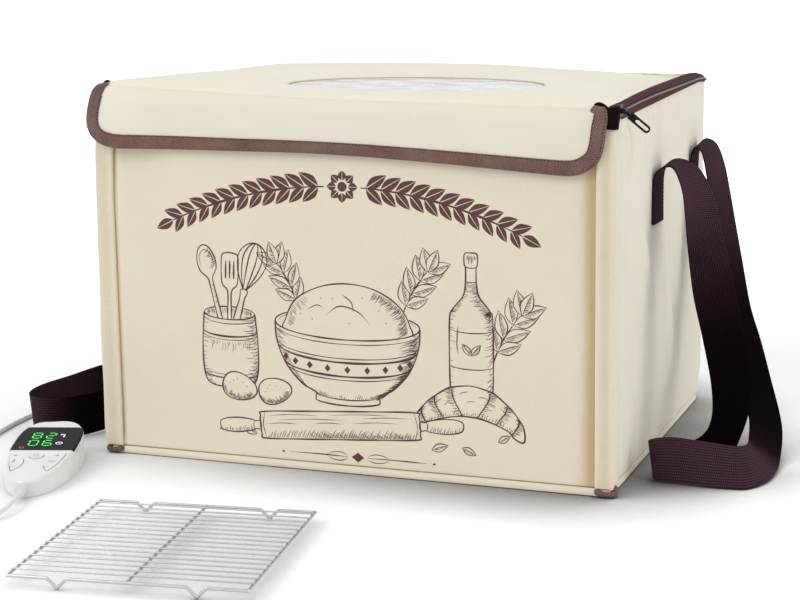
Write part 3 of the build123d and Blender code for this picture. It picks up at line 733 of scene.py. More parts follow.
def side_relief(y, z):
    """How the side cloth stands out from its board: waves, slack folds, and puckers under the zip."""
    rise = 0.5 * np.sin(y / 31.0 + 0.6) * smooth_step(1.3 - z / 330.0) + 0.3 * ripple(y, z, 60.0, 1.7)
    rise += 1.6 * bell(y, -138, 26.0) + 0.8 * bell(y, -60, 30.0) * smooth_step((180 - z) / 120.0)
    rise += fold(y, z, (72, 250), (84, 40), 14.0, 1.6) * smooth_step((150 - y) / 40.0)
    for start, end, width, height in SLACK_FOLDS:
        rise += fold(y, z, start, end, width, height)
    for start, length, lean, height in PUCKERS:
        rise += fold(y, z, (start, 300), (start + lean, 300 - length), 4.6, height, 0.4)
        rise -= fold(y, z, (start + 8, 300), (start + 9 + lean, 304 - length), 3.8, height * 0.7, 0.4)
    near_top = smooth_step((303 - z) / 6.0)
    ends = smooth_step((y + 172) / 16.0) * smooth_step((90.0 - y) / 16.0)
    return rise * near_top * ends * smooth_step(np.abs(y) / 10.0 + 0.25)


def side_painted_shade(y, z):
    """Where the side cloth lies in its own shadow: by the front roll, foot and seam, and in the puckers."""
    valley = 0.22 * bell(y, -170, 6.0) + 0.10 * bell(y, -150, 16.0)
    dark = 0.06 * bell(z, WALL_LOW, 12.0) + 0.1 * bell(z, 301, 4.0) + valley * smooth_step((y + 190) / 12.0)
    for start, length, lean, height in PUCKERS:
        foot = (start + 9 + lean, 304 - length)
        dark = dark + 0.11 * height * fold(y, z, (start + 8, 300), foot, 4.0, 1.0, 0.4)
    return dark


SKIN_SPLIT = 90.0        # where along the side the front length of cloth meets the rear one
SKIN_EDGE, HEM = 2.6, 10.0


def side_skin(side, name):
    """The side's cloth from the front corner past the middle fold, in one length."""
    span = (-177.7, SKIN_SPLIT)
    piece = panel(name + "_side_skin", OXFORD, lambda y, z, d: (side * (WIDE + d), side * y, z),
                  span if side > 0 else (-span[1], -span[0]), (WALL_LOW, WALL_TOP), 12.0,
                  relief=lambda y, z: side_relief(side * y, z), step=3.0, edge=SKIN_EDGE, corners=(2,) * 4,
                  crease=lambda y, z: side_painted_shade(side * y, z), plain="high" if side > 0 else "low")
    stand_in(piece, "cream_fabric", f"{name}_front_cover", f"{name}_rear_cover", f"{name}_rear_board")
    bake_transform(piece)


def rear_corner(side, name):
    """The side's cloth from its rear half round the upright corner to the back, softer towards the foot."""
    cut = Cut()
    along = np.concatenate([np.linspace(0, 84, 15), np.linspace(87, 148, 30)])
    lengths, z = np.meshgrid(along, lines_between(WALL_LOW, WALL_TOP, 7.0, SKIN_EDGE))
    radius = np.minimum(4.8 + 19.0 * smooth_step((42.0 - z) / 38.0) ** 1.4, 24.0)
    straight = DEEP - SKIN_SPLIT - radius
    bend = radius * math.pi / 2
    turn = np.clip((lengths - straight) / bend, 0, 1) * math.pi / 2
    before = np.minimum(lengths, straight)
    after = np.maximum(lengths - straight - bend, 0)
    lack = np.clip(SKIN_EDGE - np.minimum(z - WALL_LOW, WALL_TOP - z), 0, SKIN_EDGE)
    drop = SKIN_EDGE - np.sqrt(np.maximum(SKIN_EDGE ** 2 - lack ** 2, 0))
    fade = smooth_step(lengths / 20) * smooth_step((290 - z) / 20) * smooth_step((z - 10) / 20)
    out = 0.3 - drop + 0.3 * ripple(lengths + SKIN_SPLIT, z, 60.0, 1.7) * fade
    out = np.where(lengths < 6, out - 0.3 * (1 - lengths / 6), out)
    x = WIDE - radius + radius * np.cos(turn) - after + out * np.cos(turn)
    y = SKIN_SPLIT + before + radius * np.sin(turn) + out * np.sin(turn)
    place = columns(side * (SKIN_SPLIT + lengths), z, 0)
    start = cut.grid(np.stack([side * x, y, z], -1), place, side_painted_shade(y, z), flip=side < 0)
    index = start + np.arange(z.size).reshape(z.shape)
    for row, level in ((0, WALL_LOW), (-1, WALL_TOP)):
        hem_x, hem_y = x[row] - HEM * np.cos(turn[row]), y[row] - HEM * np.sin(turn[row])
        first = cut.add(columns(side * hem_x, hem_y, level), place[row] + (0, HEM, 0))
        ring = first + np.arange(z.shape[1])
        cut.quads(np.array([index[row], ring]), flip=(row == -1) == (side > 0))
    piece = cut.make(name + "_rear_corner_skin", OXFORD)
    stand_in(piece, "cream_fabric")
    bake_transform(piece)


def front_relief(x, z):
    rise = 0.5 * ripple(x, z, 130.0, 0.4) + 0.25 * ripple(x, z, 47.0, 2.2)
    rise += fold(x, z, (-205, 60), (-196, 250), 7.0, 0.5)
    return rise * smooth_step((268 - z) / 22.0) - 1.1 * bell(np.abs(x), 207.5, 4.0)


def front_painted_shade(x, z):
    """Shade beside the corner rolls, wider on the right, and along the foot."""
    wide = 0.78 * bell(np.maximum(205.0 - x, 0), 0, 8.0) * smooth_step((x - 170) / 10.0)
    return wide + 0.95 * bell(np.abs(x), 206.6, 1.3) + 0.12 * bell(z, WALL_LOW, 1.2)


STRIP_LOW, STRIP_TOP = 7.6, 305.8
STRIP_OUTSIDE = (
    (206.7, -189.7), (207.3, -191.3), (209.0, -192.4), (213.0, -192.2), (217.5, -192.0), (220.6, -192.7),
    (222.6, -193.0), (223.4, -191.6), (222.6, -189.6), (221.0, -186.5), (220.8, -180), (221.0, -173),
    (220.7, -168), (220.4, -165.8))
STRIP_INSIDE = np.array([(220.25, -166.2), (220.2, -178), (220.15, -189.9), (213, -190.1), (207.2, -189.6)])
STRIP_FOOT = (
    (207.0, -189.6, 5.4), (209.5, -190.6, 4.2), (213.5, -191.2, 3.2), (218, -191.0, 2.9),
    (221.2, -189.4, 3.2), (222.2, -185.5, 4.2), (221.6, -181, 5.6), (220.6, -177, 6.6))


def corner_strip(side, name):
    """The rolled strip of cloth over each front corner, with its tape-bound foot."""
    outer = smooth_curve(STRIP_OUTSIDE, 4)
    length = run_length(outer)
    # Painted shade at the crease by the front, across the middle and in the side groove; full inside.
    shade = bell(length, 0, 1.4) + 0.3 * bell(length, 10.0, 5.5) + 0.4 * bell(length, 25.5, 3.5)
    shade = np.concatenate([shade, np.ones(len(STRIP_INSIDE))])
    along = np.concatenate([length, length[-1] + np.arange(1, 6) * 8.0])
    rings, places = [], []
    for z in lines_between(STRIP_LOW, STRIP_TOP, 6.0, 2.0):
        swell = 1.0 + 0.10 * math.sin(z / 37.0 + side) + 0.06 * math.sin(z / 13.0)
        swell *= 1 - 0.45 * (1 - smooth_step(min(z - STRIP_LOW, STRIP_TOP - z) / 6.0))
        ring = outer.copy()
        front = ring[:, 1] < -190.2
        ring[front, 1] = -190.0 + (ring[front, 1] + 190.0) * swell
        flank = ring[:, 0] > 220.3
        ring[flank, 0] = 220.2 + (ring[flank, 0] - 220.2) * swell
        loop = np.vstack([ring, STRIP_INSIDE]) * (side, 1)
        rings.append(level_ring(loop, z))
        places.append(columns(along, z, 0))
    cut = Cut()
    cut.loft(rings, places, [shade] * len(rings), flip=side < 0)
    stand_in(cut.make(f"{name}_corner_roll", LINEN, "front_wall"), "cream_fabric", f"{name}_corner_strip")
    foot = Cut()
    line = smooth_curve(STRIP_FOOT, 4) * (side, 1, 1)
    count = np.arange(len(line))
    radius = 2.3 + 0.5 * np.sin(np.linspace(0, 11, len(line))) * np.linspace(1, 0.3, len(line))
    radius *= smooth_step(np.minimum(count, count[::-1]) / 3.0) * 0.5 + 0.5
    tube(foot, line, radius, 12)
    stand_in(foot.make(f"{name}_corner_foot_binding", BINDING, "front_wall"), "twill_binding")


def rounded_rectangle(x0, x1, y0, y1, radii, step=6.0):
    """Points round a rectangle, anticlockwise from its low x, low y corner, with four corner radii."""
    made = []
    corners = ((x0, y0, 1, 1, 180), (x1, y0, -1, 1, 270), (x1, y1, -1, -1, 0), (x0, y1, 1, -1, 90))
    for (cx, cy, sx, sy, first), r in zip(corners, radii):
        for a in np.radians(np.linspace(first, first + 90, 9)):
            made.append((cx + sx * r + r * math.cos(a), cy + sy * r + r * math.sin(a)))
    loop = np.array(made + made[:1])
    filled = []
    for a, b in zip(loop[:-1], loop[1:]):
        count = max(1, int(np.linalg.norm(b - a) / step))
        filled.extend(a + (b - a) * k / count for k in range(count))
    return np.array(filled)


# The base tray's section from under the floor up over the rim: how far in from the box's outline, and height.
TRAY_SECTION = (
    (9, 0.0), (3.0, 0.0), (1.0, 0.5), (0.2, 1.8), (-0.2, 3.4), (0.1, 5.2), (0.9, 6.6), (3.0, 7.0),
    (12, 7.0), (12.6, 4.3))
TRAY_CORNERS = (6, 6, 26, 26)
TRAY_SHADED = (0, 1, 7, 8)


def make_base():
    """The shallow base tray: its rim shows as a thin lip under the walls."""
    rings = []
    for inset, z in TRAY_SECTION:
        radii = [max(r - inset, 0.6) for r in TRAY_CORNERS]
        ring = rounded_rectangle(-WIDE + inset, WIDE - inset, -DEEP + inset, DEEP - inset, radii)
        rings.append(level_ring(ring, z))
    length = run_length(rings[4])
    count = min(len(r) for r in rings)
    rings = [r[np.linspace(0, len(r) - 1, count).round().astype(int)] for r in rings]
    places = [columns(length, z + inset, 0)[:count] for inset, z in TRAY_SECTION]
    shade = [[0.25 if k in TRAY_SHADED else 0.0] * count for k in range(len(rings))]
    cut = Cut()
    cut.loft(rings, places, shade)
    stand_in(cut.make("base_tray_cloth", LINEN, "base"), "cream_fabric", "base_cover", "base_board")


def quilted(cell, height):
    """Relief of a lining sewn down along a square grid."""
    def relief(u, v):
        a = np.abs(np.sin(math.pi * u / cell)) ** 0.6 * np.abs(np.sin(math.pi * v / cell)) ** 0.6
        return height * (a - 0.6) + 0.25 * ripple(u, v, 25.0, 0.9)
    return relief


LINING_CELL = 44.0       # the linings are sewn down along a square grid of this size
FLOOR_TOP = 7.0
MAT_HALF_WIDE, MAT_HALF_DEEP, MAT_CORNERS = 180, 150, (14,) * 4


def on_floor(x, y, d):
    return x, y, FLOOR_TOP + d


def make_linings():
    """Quilted foil inside each wall and on the floor."""
    quilt = quilted(LINING_CELL, 0.8)
    walls = {"front_lining": ("front_wall", lambda u, z, d: (-u, -178.4 + d, z), (-206, 206)),
             "rear_lining": ("base", lambda u, z, d: (u, 178.4 - d, z), (-206, 206))}
    for side, name in SIDES:
        for half, low in (("front", -175.0), ("rear", 2.2)):
            span = (low, low + 172.8)
            walls[f"{name}_{half}_lining"] = (
                f"{name}_{half}_wall", lambda u, z, d, s=side: (s * (208.4 - d), -s * u, z),
                (-span[1], -span[0]) if side > 0 else span)
    for node, (body, at, span) in walls.items():
        made = panel(node + "_foil", LINING, at, span, (9.2, 304.2), 2.4, body=body, relief=quilt, step=9.0,
                     edge=1.2, hem=0)
        covers_board = node == "rear_lining" or node.endswith("_front_lining")
        stand_in(made, "lining_foil", node, *([node.replace("lining", "board")] if covers_board else []))

    def floor_relief(x, y):
        under_mat = smooth_step((183 - np.abs(x)) / 5.0) * smooth_step((153 - np.abs(y)) / 5.0)
        return quilt(x, y) - 1.3 * under_mat

    floor = panel("base_lining_foil", LINING, on_floor, (-206, 206), (-177, 177), 2.6, body="base",
                  relief=floor_relief, step=6.0, edge=1.0, hem=0)
    stand_in(floor, "lining_foil", "base_lining")


def make_mat():
    """The heating mat: two layers of cloth sewn in long channels round the wire."""
    def relief(x, y):
        channel = np.abs(np.sin(math.pi * y / 25.0)) ** 0.7 * smooth_step((168 - np.abs(x)) / 10.0)
        return 0.5 * channel - 0.3 + 0.1 * ripple(x, y, 30.0, 0.3)

    wide, deep = (-MAT_HALF_WIDE, MAT_HALF_WIDE), (-MAT_HALF_DEEP, MAT_HALF_DEEP)
    mat = panel("heating_mat_pad", MAT_CLOTH, on_floor, wide, deep, 1.8, body="base", relief=relief, step=6.0,
                edge=1.2, corners=MAT_CORNERS, hem=0)
    stand_in(mat, "mat_fabric", "heating_mat")
    edging = Cut()
    loop = rounded_rectangle(*wide, *deep, MAT_CORNERS, 8.0)
    loop = np.vstack([loop, loop[:1]])
    tube(edging, level_ring(loop, 6.2), 1.1, 8)
    stand_in(edging.make("heating_mat_binding", BINDING, "base"), "twill_binding")


FRONT_HALF, REAR_HALF = 219.4, 188.5


def make_front_and_rear():
    """The cloth of the front and rear walls."""
    front = panel("front_wall_cloth", LINEN, lambda x, z, d: (x, -DEEP - d, z), (-FRONT_HALF, FRONT_HALF),
                  (WALL_LOW, WALL_TOP), 12.0, body="front_wall", relief=front_relief, step=5.0, edge=2.2,
                  corners=(2,) * 4, crease=front_painted_shade)
    stand_in(front, "cream_fabric", "front_cover")
    rear = panel("rear_wall_cloth", OXFORD, lambda x, z, d: (-x, DEEP + d, z), (-REAR_HALF, REAR_HALF),
                 (WALL_LOW, WALL_TOP), 11.0, body="base", step=8.0, edge=2.2, corners=(2,) * 4,
                 relief=lambda x, z: 0.7 * ripple(x, z, 90.0, 0.8) + 0.9,
                 # painted shade down both upright edges
                 crease=lambda x, z: 0.3 * bell(np.abs(x), 187, 2.0))
    stand_in(rear, "cream_fabric", "rear_cover")


for side, name in SIDES:
    side_skin(side, name)
    rear_corner(side, name)
    corner_strip(side, name)
make_front_and_rear()
make_base()
make_linings()
make_mat()


# ---- print on the front ----
def within(points, outline):
    """Which points lie inside a closed outline."""
    a, b = outline, np.roll(outline, -1, 0)
    x, z = points[:, :1], points[:, 1:]
    crossed = (a[:, 1] > z) != (b[:, 1] > z)
    reach = (b[:, 0] - a[:, 0]) * (z - a[:, 1]) / np.where(crossed, b[:, 1] - a[:, 1], 1.0) + a[:, 0]
    return (crossed & (x < reach)).sum(1) % 2 == 1


def closed_curve(stations, per_span=8):
    p = np.asarray(stations, float)
    return smooth_curve(np.vstack([p[-2:], p, p[:2]]), per_span)[2 * per_span:(2 + len(p)) * per_span]


def bow(x, z, rx, rz, first, last, count=13):
    """Points on part of an ellipse, from one angle to another in degrees."""
    a = np.radians(np.linspace(first, last, count))
    return columns(x + rx * np.cos(a), z + rz * np.sin(a))


def turned(degrees):
    """Two axes turned anticlockwise."""
    a = math.radians(degrees)
    return np.array([[math.cos(a), math.sin(a)], [-math.sin(a), math.cos(a)]])


def both_sides(half):
    """A smooth line down one side of a vessel and back up the other, as its mirror image."""
    line = smooth_curve(half, 4)
    return np.vstack([line, (line * (-1, 1))[::-1]])


LEAF_EDGE = ((0, 0), (0.18, 0.30), (0.42, 0.5), (0.70, 0.36), (0.9, 0.12), (1.0, 0.0))
PRINT_LIFT = 0.1
STROKE_STEP = 1.1


class Engraving:
    """Line work in one ink on the front cloth. What is drawn first hides what is drawn later."""

    def __init__(self):
        self.cut, self.covers, self.done, self.chance = Cut(), [], [], np.random.default_rng(11)

    def place(self, origin, axes):
        """Start the next thing; what was drawn before now hides what lies behind it."""
        self.covers, self.done, self.field = self.covers + self.done, [], None
        self.origin, self.axes = np.array(origin, float), axes

    def frame(self, at, turn=0.0, size=1.0, mirror=False):
        axes = size * turned(turn)
        self.place(at, axes * (-1, 1) if mirror else axes)

    def placed(self, stations):
        return np.asarray(stations, float) @ self.axes + self.origin

    def lay(self, flat):
        """Points of the drawing, a hair proud of the cloth."""
        x, z = flat[..., 0], flat[..., 1]
        inside = np.minimum(FRONT_HALF - np.abs(x), z - WALL_LOW)
        lift = front_relief(x, z) * smooth_step(inside / RELIEF_MARGIN)
        return columns(x, -DEEP - lift - PRINT_LIFT, z)

    def stroke(self, stations, width=0.9, thin=0.35, closed=False):
        """A line that swells along its length and thins to its ends; closed lines keep their width."""
        stations = self.placed(stations)
        line = closed_curve(stations) if closed else smooth_curve(stations, 8)
        if closed:
            line = np.vstack([line, line[:1]])
        run = run_length(line)
        total = run[-1]
        count = max(5, int(total / STROKE_STEP))
        along = np.linspace(0, total, count)
        line = columns(*(np.interp(along, run, part) for part in line.T))
        to_end = np.minimum(along, total - along)
        swell = 1.0 if closed else thin + (1 - thin) * smooth_step(to_end / (0.3 * total))
        half = width / 2 * swell * (1 + 0.22 * np.sin(along / 7.0 + self.chance.uniform(0, 6)))
        left = left_hand(line) * half[:, None]
        seen = np.ones(count, bool) if self.field is None else within(line, self.field)
        for cover in self.covers:
            seen &= ~within(line, cover)
        for part in np.split(np.arange(count), np.where(~seen)[0]):
            part = part[seen[part]]
            if len(part) > 1:
                ribbon = np.stack([line[part] + left[part], line[part] - left[part]], 1)
                self.cut.grid(self.lay(ribbon), np.concatenate([ribbon, ribbon[..., :1] * 0], -1))

    def pair(self, stations, width=0.9, thin=0.35):
        """A line and its mirror image."""
        for side in (1, -1):
            self.stroke(np.array(stations) * (side, 1), width, thin)

    def solid(self, stations, smooth=True):
        """A filled shape."""
        stations = self.placed(stations)
        loop = closed_curve(stations, 4) if smooth else stations
        turned = (loop[:, 0] * np.roll(loop[:, 1], -1) - loop[:, 1] * np.roll(loop[:, 0], -1)).sum()
        if turned < 0:
            loop = loop[::-1]
        start = self.cut.add(self.lay(loop), level_ring(loop, 0))
        self.cut.fill(range(start, start + len(loop)))

    def hide(self, stations):
        """The area that the thing being drawn hides behind it."""
        self.done.append(self.placed(stations))

    def body(self, stations, width=1.0):
        """A closed outline that hides what lies behind it."""
        self.stroke(stations, width, closed=True)
        self.hide(closed_curve(stations))

    def hatch(self, a, b, count, width=0.42, reach=(0.35, 1.0)):
        """Fine strokes from line a towards line b, of uneven length and spacing."""
        a, b = smooth_curve(a, 8), smooth_curve(b, 8)
        for t in (np.arange(count) + 0.5) / count:
            t += self.chance.uniform(-0.3, 0.3) / count
            p, q = (np.array([np.interp(t, np.linspace(0, 1, len(line)), part) for part in line.T])
                    for line in (a, b))
            self.chance.uniform(0, 1)
            way, far = q - p, self.chance.uniform(*reach)
            bend = np.array([-way[1], way[0]]) * 0.05
            self.stroke([p, p + way * far / 2 + bend, p + way * far], width, 0.15)

    def dots(self, spots, size=0.9):
        for x, z in spots:
            self.solid(bow(x, z, size, size * 0.8, 0, 315, 8))

    def leaf(self, length, width, bold=False):
        """A pointed leaf along its own first axis, in outline or as two filled halves."""
        edge = np.array(LEAF_EDGE) * (length, width)
        if bold:
            gap = 0.045 * width
            for sign in (1, -1):
                rib = [(length * 0.98, sign * gap * 0.4), (length * 0.05, sign * gap)]
                self.solid(np.vstack([smooth_curve(edge * (1, sign), 3)[:-1], rib]), smooth=False)
            return
        self.stroke(edge, 0.8, 0.5)
        self.stroke(edge * (1, -1), 0.8, 0.5)
        self.stroke([(0, 0), (length * 0.5, width * 0.04), (length * 0.93, 0)], 0.6)
        self.hatch([(length * 0.1, 0), (length * 0.85, 0)],
                   [(length * 0.26, -width * 0.42), (length * 0.94, -width * 0.16)],
                   max(4, int(length / 1.6)), 0.4, (0.6, 1.0))
        self.hide(np.vstack([edge, (edge * (1, -1))[-2:0:-1]]))


def sprig(draw, at, turn, length, leaves, size, mirror=False):
    """A leafy twig that curves up from its foot."""
    stem = [(0, 0), (length * 0.35, length * 0.05), (length * 0.7, length * 0.02), (length, -length * 0.08)]
    draw.frame(at, turn, mirror=mirror)
    at, axes, line = draw.origin, draw.axes, smooth_curve(stem, 8)
    spots = [line[int((0.25 + 0.72 * k / leaves) * len(line))] for k in range(leaves)]
    for k, spot in enumerate(spots[::-1]):
        for lean in ((38, -42) if k else (4, 40, -40)):
            draw.place(spot @ axes + at, turned(lean) @ axes)
            draw.leaf(size * (0.85 + 0.05 * (k % 3)), size * 0.42)
    draw.place(at, axes)
    draw.stroke(stem, 1.2, 0.5)


ARCH_RADIUS, ARCH_CROWN, ARCH_REACH = 352.0, (-2.0, 241.0), 0.44


def on_arch(side, a):
    """A point on the garland's arch, at an angle from its crown."""
    x, z = ARCH_CROWN
    return x + side * ARCH_RADIUS * math.sin(a), z - ARCH_RADIUS * (1 - math.cos(a))


def garland(draw):
    """A bold leafy arch, a flower at its crown and a bud at each end."""
    draw.frame(ARCH_CROWN)
    draw.solid(bow(0, 0, 4.0, 4.0, 0, 345, 24), smooth=False)
    for k in range(8):
        a = k * math.pi / 4
        draw.frame((ARCH_CROWN[0] + 5.0 * math.cos(a), ARCH_CROWN[1] + 5.0 * math.sin(a)), k * 45.0)
        draw.leaf(8.4, 7.4, bold=True)
    for side in (1, -1):
        for k in range(11):
            a = 0.058 + 0.0355 * k
            for lean, size in ((36, 21.0 - 0.3 * k), (-40, 19.5 - 0.3 * k)):
                draw.frame(on_arch(side, a), lean - math.degrees(a), mirror=side < 0)
                draw.leaf(size, size * 0.46, bold=True)
        a = np.linspace(0.045, ARCH_REACH, 20)
        draw.frame(ARCH_CROWN)
        draw.stroke(np.stack([side * ARCH_RADIUS * np.sin(a), -ARCH_RADIUS * (1 - np.cos(a))], -1), 1.8, 0.5)
        draw.frame(on_arch(side, ARCH_REACH), -27.0, mirror=side < 0)
        draw.leaf(18.0, 9.0, bold=True)


def rolling_pin(draw):
    """A wooden pin with grain lines and turned handles."""
    draw.frame((-8, 41), 4.0)
    draw.body([(-70, -8), (-67, -11.5), (-30, -12), (30, -12), (67, -11.5), (70, -8), (70.5, 0), (70, 8),
               (67, 11.5), (30, 12), (-30, 12), (-67, 11.5), (-70, 8), (-70.5, 0)], 1.2)
    for side in (1, -1):
        grip = ((70.5, -3.4), (75, -3.4), (79, -4.8), (90, -6.2), (101, -5.6), (106.5, -3), (107, 3),
                (101, 5.6), (90, 6.2), (79, 4.8), (75, 3.4), (70.5, 3.4))
        draw.body(np.array(grip) * (side, 1), 1.0)
        edge = np.array([(78, -4.6), (90, -6.0), (104, -5)]) * (side, 1)
        draw.hatch(edge, edge + (1.5, 5.5), 16, 0.42, (0.4, 1.0))
        draw.stroke(np.array([(76, -3.2), (77, 0), (76, 3.2)]) * (side, 1), 0.8)
        draw.stroke(np.array([(66, -11), (68, 0), (66, 11)]) * (side, 1), 0.6)
    draw.hatch([(-66, -11.4), (66, -11.4)], [(-61, -2.5), (71, -2.5)], 64, 0.45, (0.3, 1.0))
    draw.hatch([(-20, -11.4), (66, -11.4)], [(-30, -5), (56, -5)], 40, 0.4, (0.5, 1.0))
    for x0, x1, z in ((-62, -18, 8.2), (-8, 44, 8.6), (20, 64, 6.0), (-55, 6, 4.4), (-66, -36, 0.8),
                      (12, 52, 1.8), (-24, 4, 1.2)):
        draw.stroke([(x0, z), ((x0 + x1) / 2, z + 0.9), (x1, z)], 0.5, 0.2)


def egg(draw, at, turn, size=1.0):
    """An egg, shaded below and speckled."""
    draw.frame(at, turn, size)
    a = np.radians(np.arange(0, 360, 22.5))
    draw.body(np.stack([15 * np.cos(a) + 1.6 * np.cos(2 * a), 11.2 * np.sin(a)], -1), 1.1)
    draw.hatch(bow(0.5, 0, 14.6, 10.8, 195, 350), bow(-1.5, 2, 11.5, 6.5, 200, 335), 30, 0.42, (0.4, 1.0))
    draw.hatch(bow(0.5, 0, 14.6, 10.8, 235, 335), bow(1.0, 1, 9.0, 8.0, 250, 350), 18, 0.38, (0.3, 0.9))
    draw.dots([(-5, 3.4), (-2, 5.6), (3.2, 4.2), (-7.6, 0.5), (7.2, 2.0)], 0.45)


def croissant(draw):
    """A crescent roll of seven rolled segments."""
    draw.frame((104, 52), -3.0)
    outer = np.array([(-46, -9), (-45, 2), (-37, 13), (-33, 17), (-21, 26), (-15, 28.5), (0, 31), (15, 28.5),
                      (21, 26), (33, 17), (37, 13), (45, 2), (46, -10)])
    inner = np.array([(38, -8), (33, -3), (22, 1.5), (10, 4.5), (0, 5.2), (-10, 4.5), (-22, 1.5), (-33, -3),
                      (-38, -8)])
    draw.body(np.vstack([outer, inner]), 1.2)
    draw.field = closed_curve(draw.placed(np.vstack([outer, inner])))
    top, low = smooth_curve(outer, 8), smooth_curve(inner[::-1], 8)
    for t, foot in ((0.14, 0.07), (0.27, 0.25), (0.41, 0.42), (0.59, 0.58), (0.73, 0.75), (0.86, 0.93)):
        a, b = top[int(t * len(top))], low[int(foot * len(low))]
        side = 1 if t > 0.5 else -1
        ridge = np.array([a, a * 0.6 + b * 0.4 + (side * 2.6, 0.6), b])
        draw.stroke(ridge, 1.2, 0.7)
        draw.hatch(ridge, ridge + (side * 8.0, -1.0), 20, 0.42, (0.4, 1.0))
        draw.hatch(ridge, ridge - (side * 4.0, 0.4), 12, 0.38, (0.3, 0.8))
    draw.hatch(inner[::-1], inner[::-1] + (1.5, 6.0), 44, 0.42, (0.3, 1.0))
    for x0, z0, x1, z1 in ((-30, 12, -24, 18), (-10, 23, -2, 26), (6, 22, 14, 22), (24, 16, 30, 11),
                           (-22, 12, -17, 17), (-4, 17, 4, 18)):
        draw.stroke([(x0, z0), ((x0 + x1) / 2, (z0 + z1) / 2 + 0.7), (x1, z1)], 0.5, 0.2)


def mixing_bowl(draw):
    """A banded bowl with a round of risen dough in it."""
    draw.frame((0, 58))
    half = np.array([(63, 68), (61.5, 52), (54, 33), (40, 17), (28, 10.5), (27.5, 4), (15, 1.2), (0, 0.4)])
    rim = bow(0, 69, 63, 13, 180, 360, 15)
    draw.hide(np.vstack([rim, both_sides(half)]))
    draw.pair(half, 1.3, 0.9)
    draw.stroke(rim, 1.2, 0.9)
    draw.stroke(bow(0, 65.4, 63, 13.2, 182, 358, 15), 0.7, 0.6)
    draw.stroke(bow(0, 10.5, 28, 5.2, 190, 350, 9), 0.9, 0.5)
    for level, wide, deep, thick in ((53, 61.0, 13, 0.8), (49.5, 60.0, 12.8, 1.7), (37, 55.6, 12, 1.7),
                                     (33.6, 53.6, 11.8, 0.8)):
        draw.stroke(bow(0, level, wide, deep, 184, 356, 15), thick, 0.8)
    for k in range(9):
        a = math.radians(200 + 17.5 * k)
        x, z = 57.5 * math.cos(a), 43.2 + 12.4 * math.sin(a)
        draw.solid([(x - 2.6, z), (x, z - 3.2), (x + 2.6, z), (x, z + 3.2)], smooth=False)
    right = np.array([(62.4, 64), (60.4, 50), (53, 33), (40, 18), (28, 11)])
    draw.hatch(right, right * (0.70, 1) - (0, 9), 52, 0.45, (0.35, 1.0))
    draw.hatch(right, right * (0.84, 1) - (0, 1), 40, 0.42, (0.4, 1.0))
    draw.hatch(right * (-1, 1), right * (-0.84, 1) - (0, 5), 34, 0.42, (0.3, 1.0))
    draw.hatch(bow(0, 10.5, 28, 5.2, 200, 340, 9), bow(0, 20, 38, 9, 205, 335, 9), 36, 0.4, (0.2, 0.9))
    draw.frame((0, 58))
    dome = np.array([(-52, 60), (-53, 72), (-44, 88), (-24, 99), (0, 103), (25, 99), (45, 87), (54, 72),
                     (52, 60), (0, 52)])
    draw.body(dome, 1.1)
    for wrinkle, width in (([(-18, 76), (-6, 84), (10, 80), (20, 70)], 0.9),
                           ([(-4, 94), (4, 88), (6, 80)], 0.8), ([(-34, 80), (-26, 84), (-20, 82)], 0.7)):
        draw.stroke(wrinkle, width, 0.2)
    edge = np.array([(53, 66), (50, 80), (40, 90), (24, 98)])
    draw.hatch(edge, edge * (0.80, 1) - (0, 7), 38, 0.42, (0.3, 1.0))
    draw.hatch(edge, edge * (0.90, 1) - (4, 10), 26, 0.38, (0.2, 0.9))
    draw.hatch([(-52, 66), (-49, 80), (-38, 91)], [(-46, 62), (-42, 74), (-32, 84)], 20, 0.4, (0.3, 1.0))
    draw.dots([(-30, 72), (-12, 90), (14, 92), (28, 82), (-40, 76), (2, 70), (34, 72), (-22, 90)], 0.55)
    draw.frame((0, 58))
    draw.stroke(bow(0, 69, 63, 13, 0, 180, 15), 1.1, 0.9)
    draw.stroke(bow(0, 69, 60, 11, 5, 175, 15), 0.6, 0.6)
    draw.hide(bow(0, 69, 63, 13, 0, 345, 24))


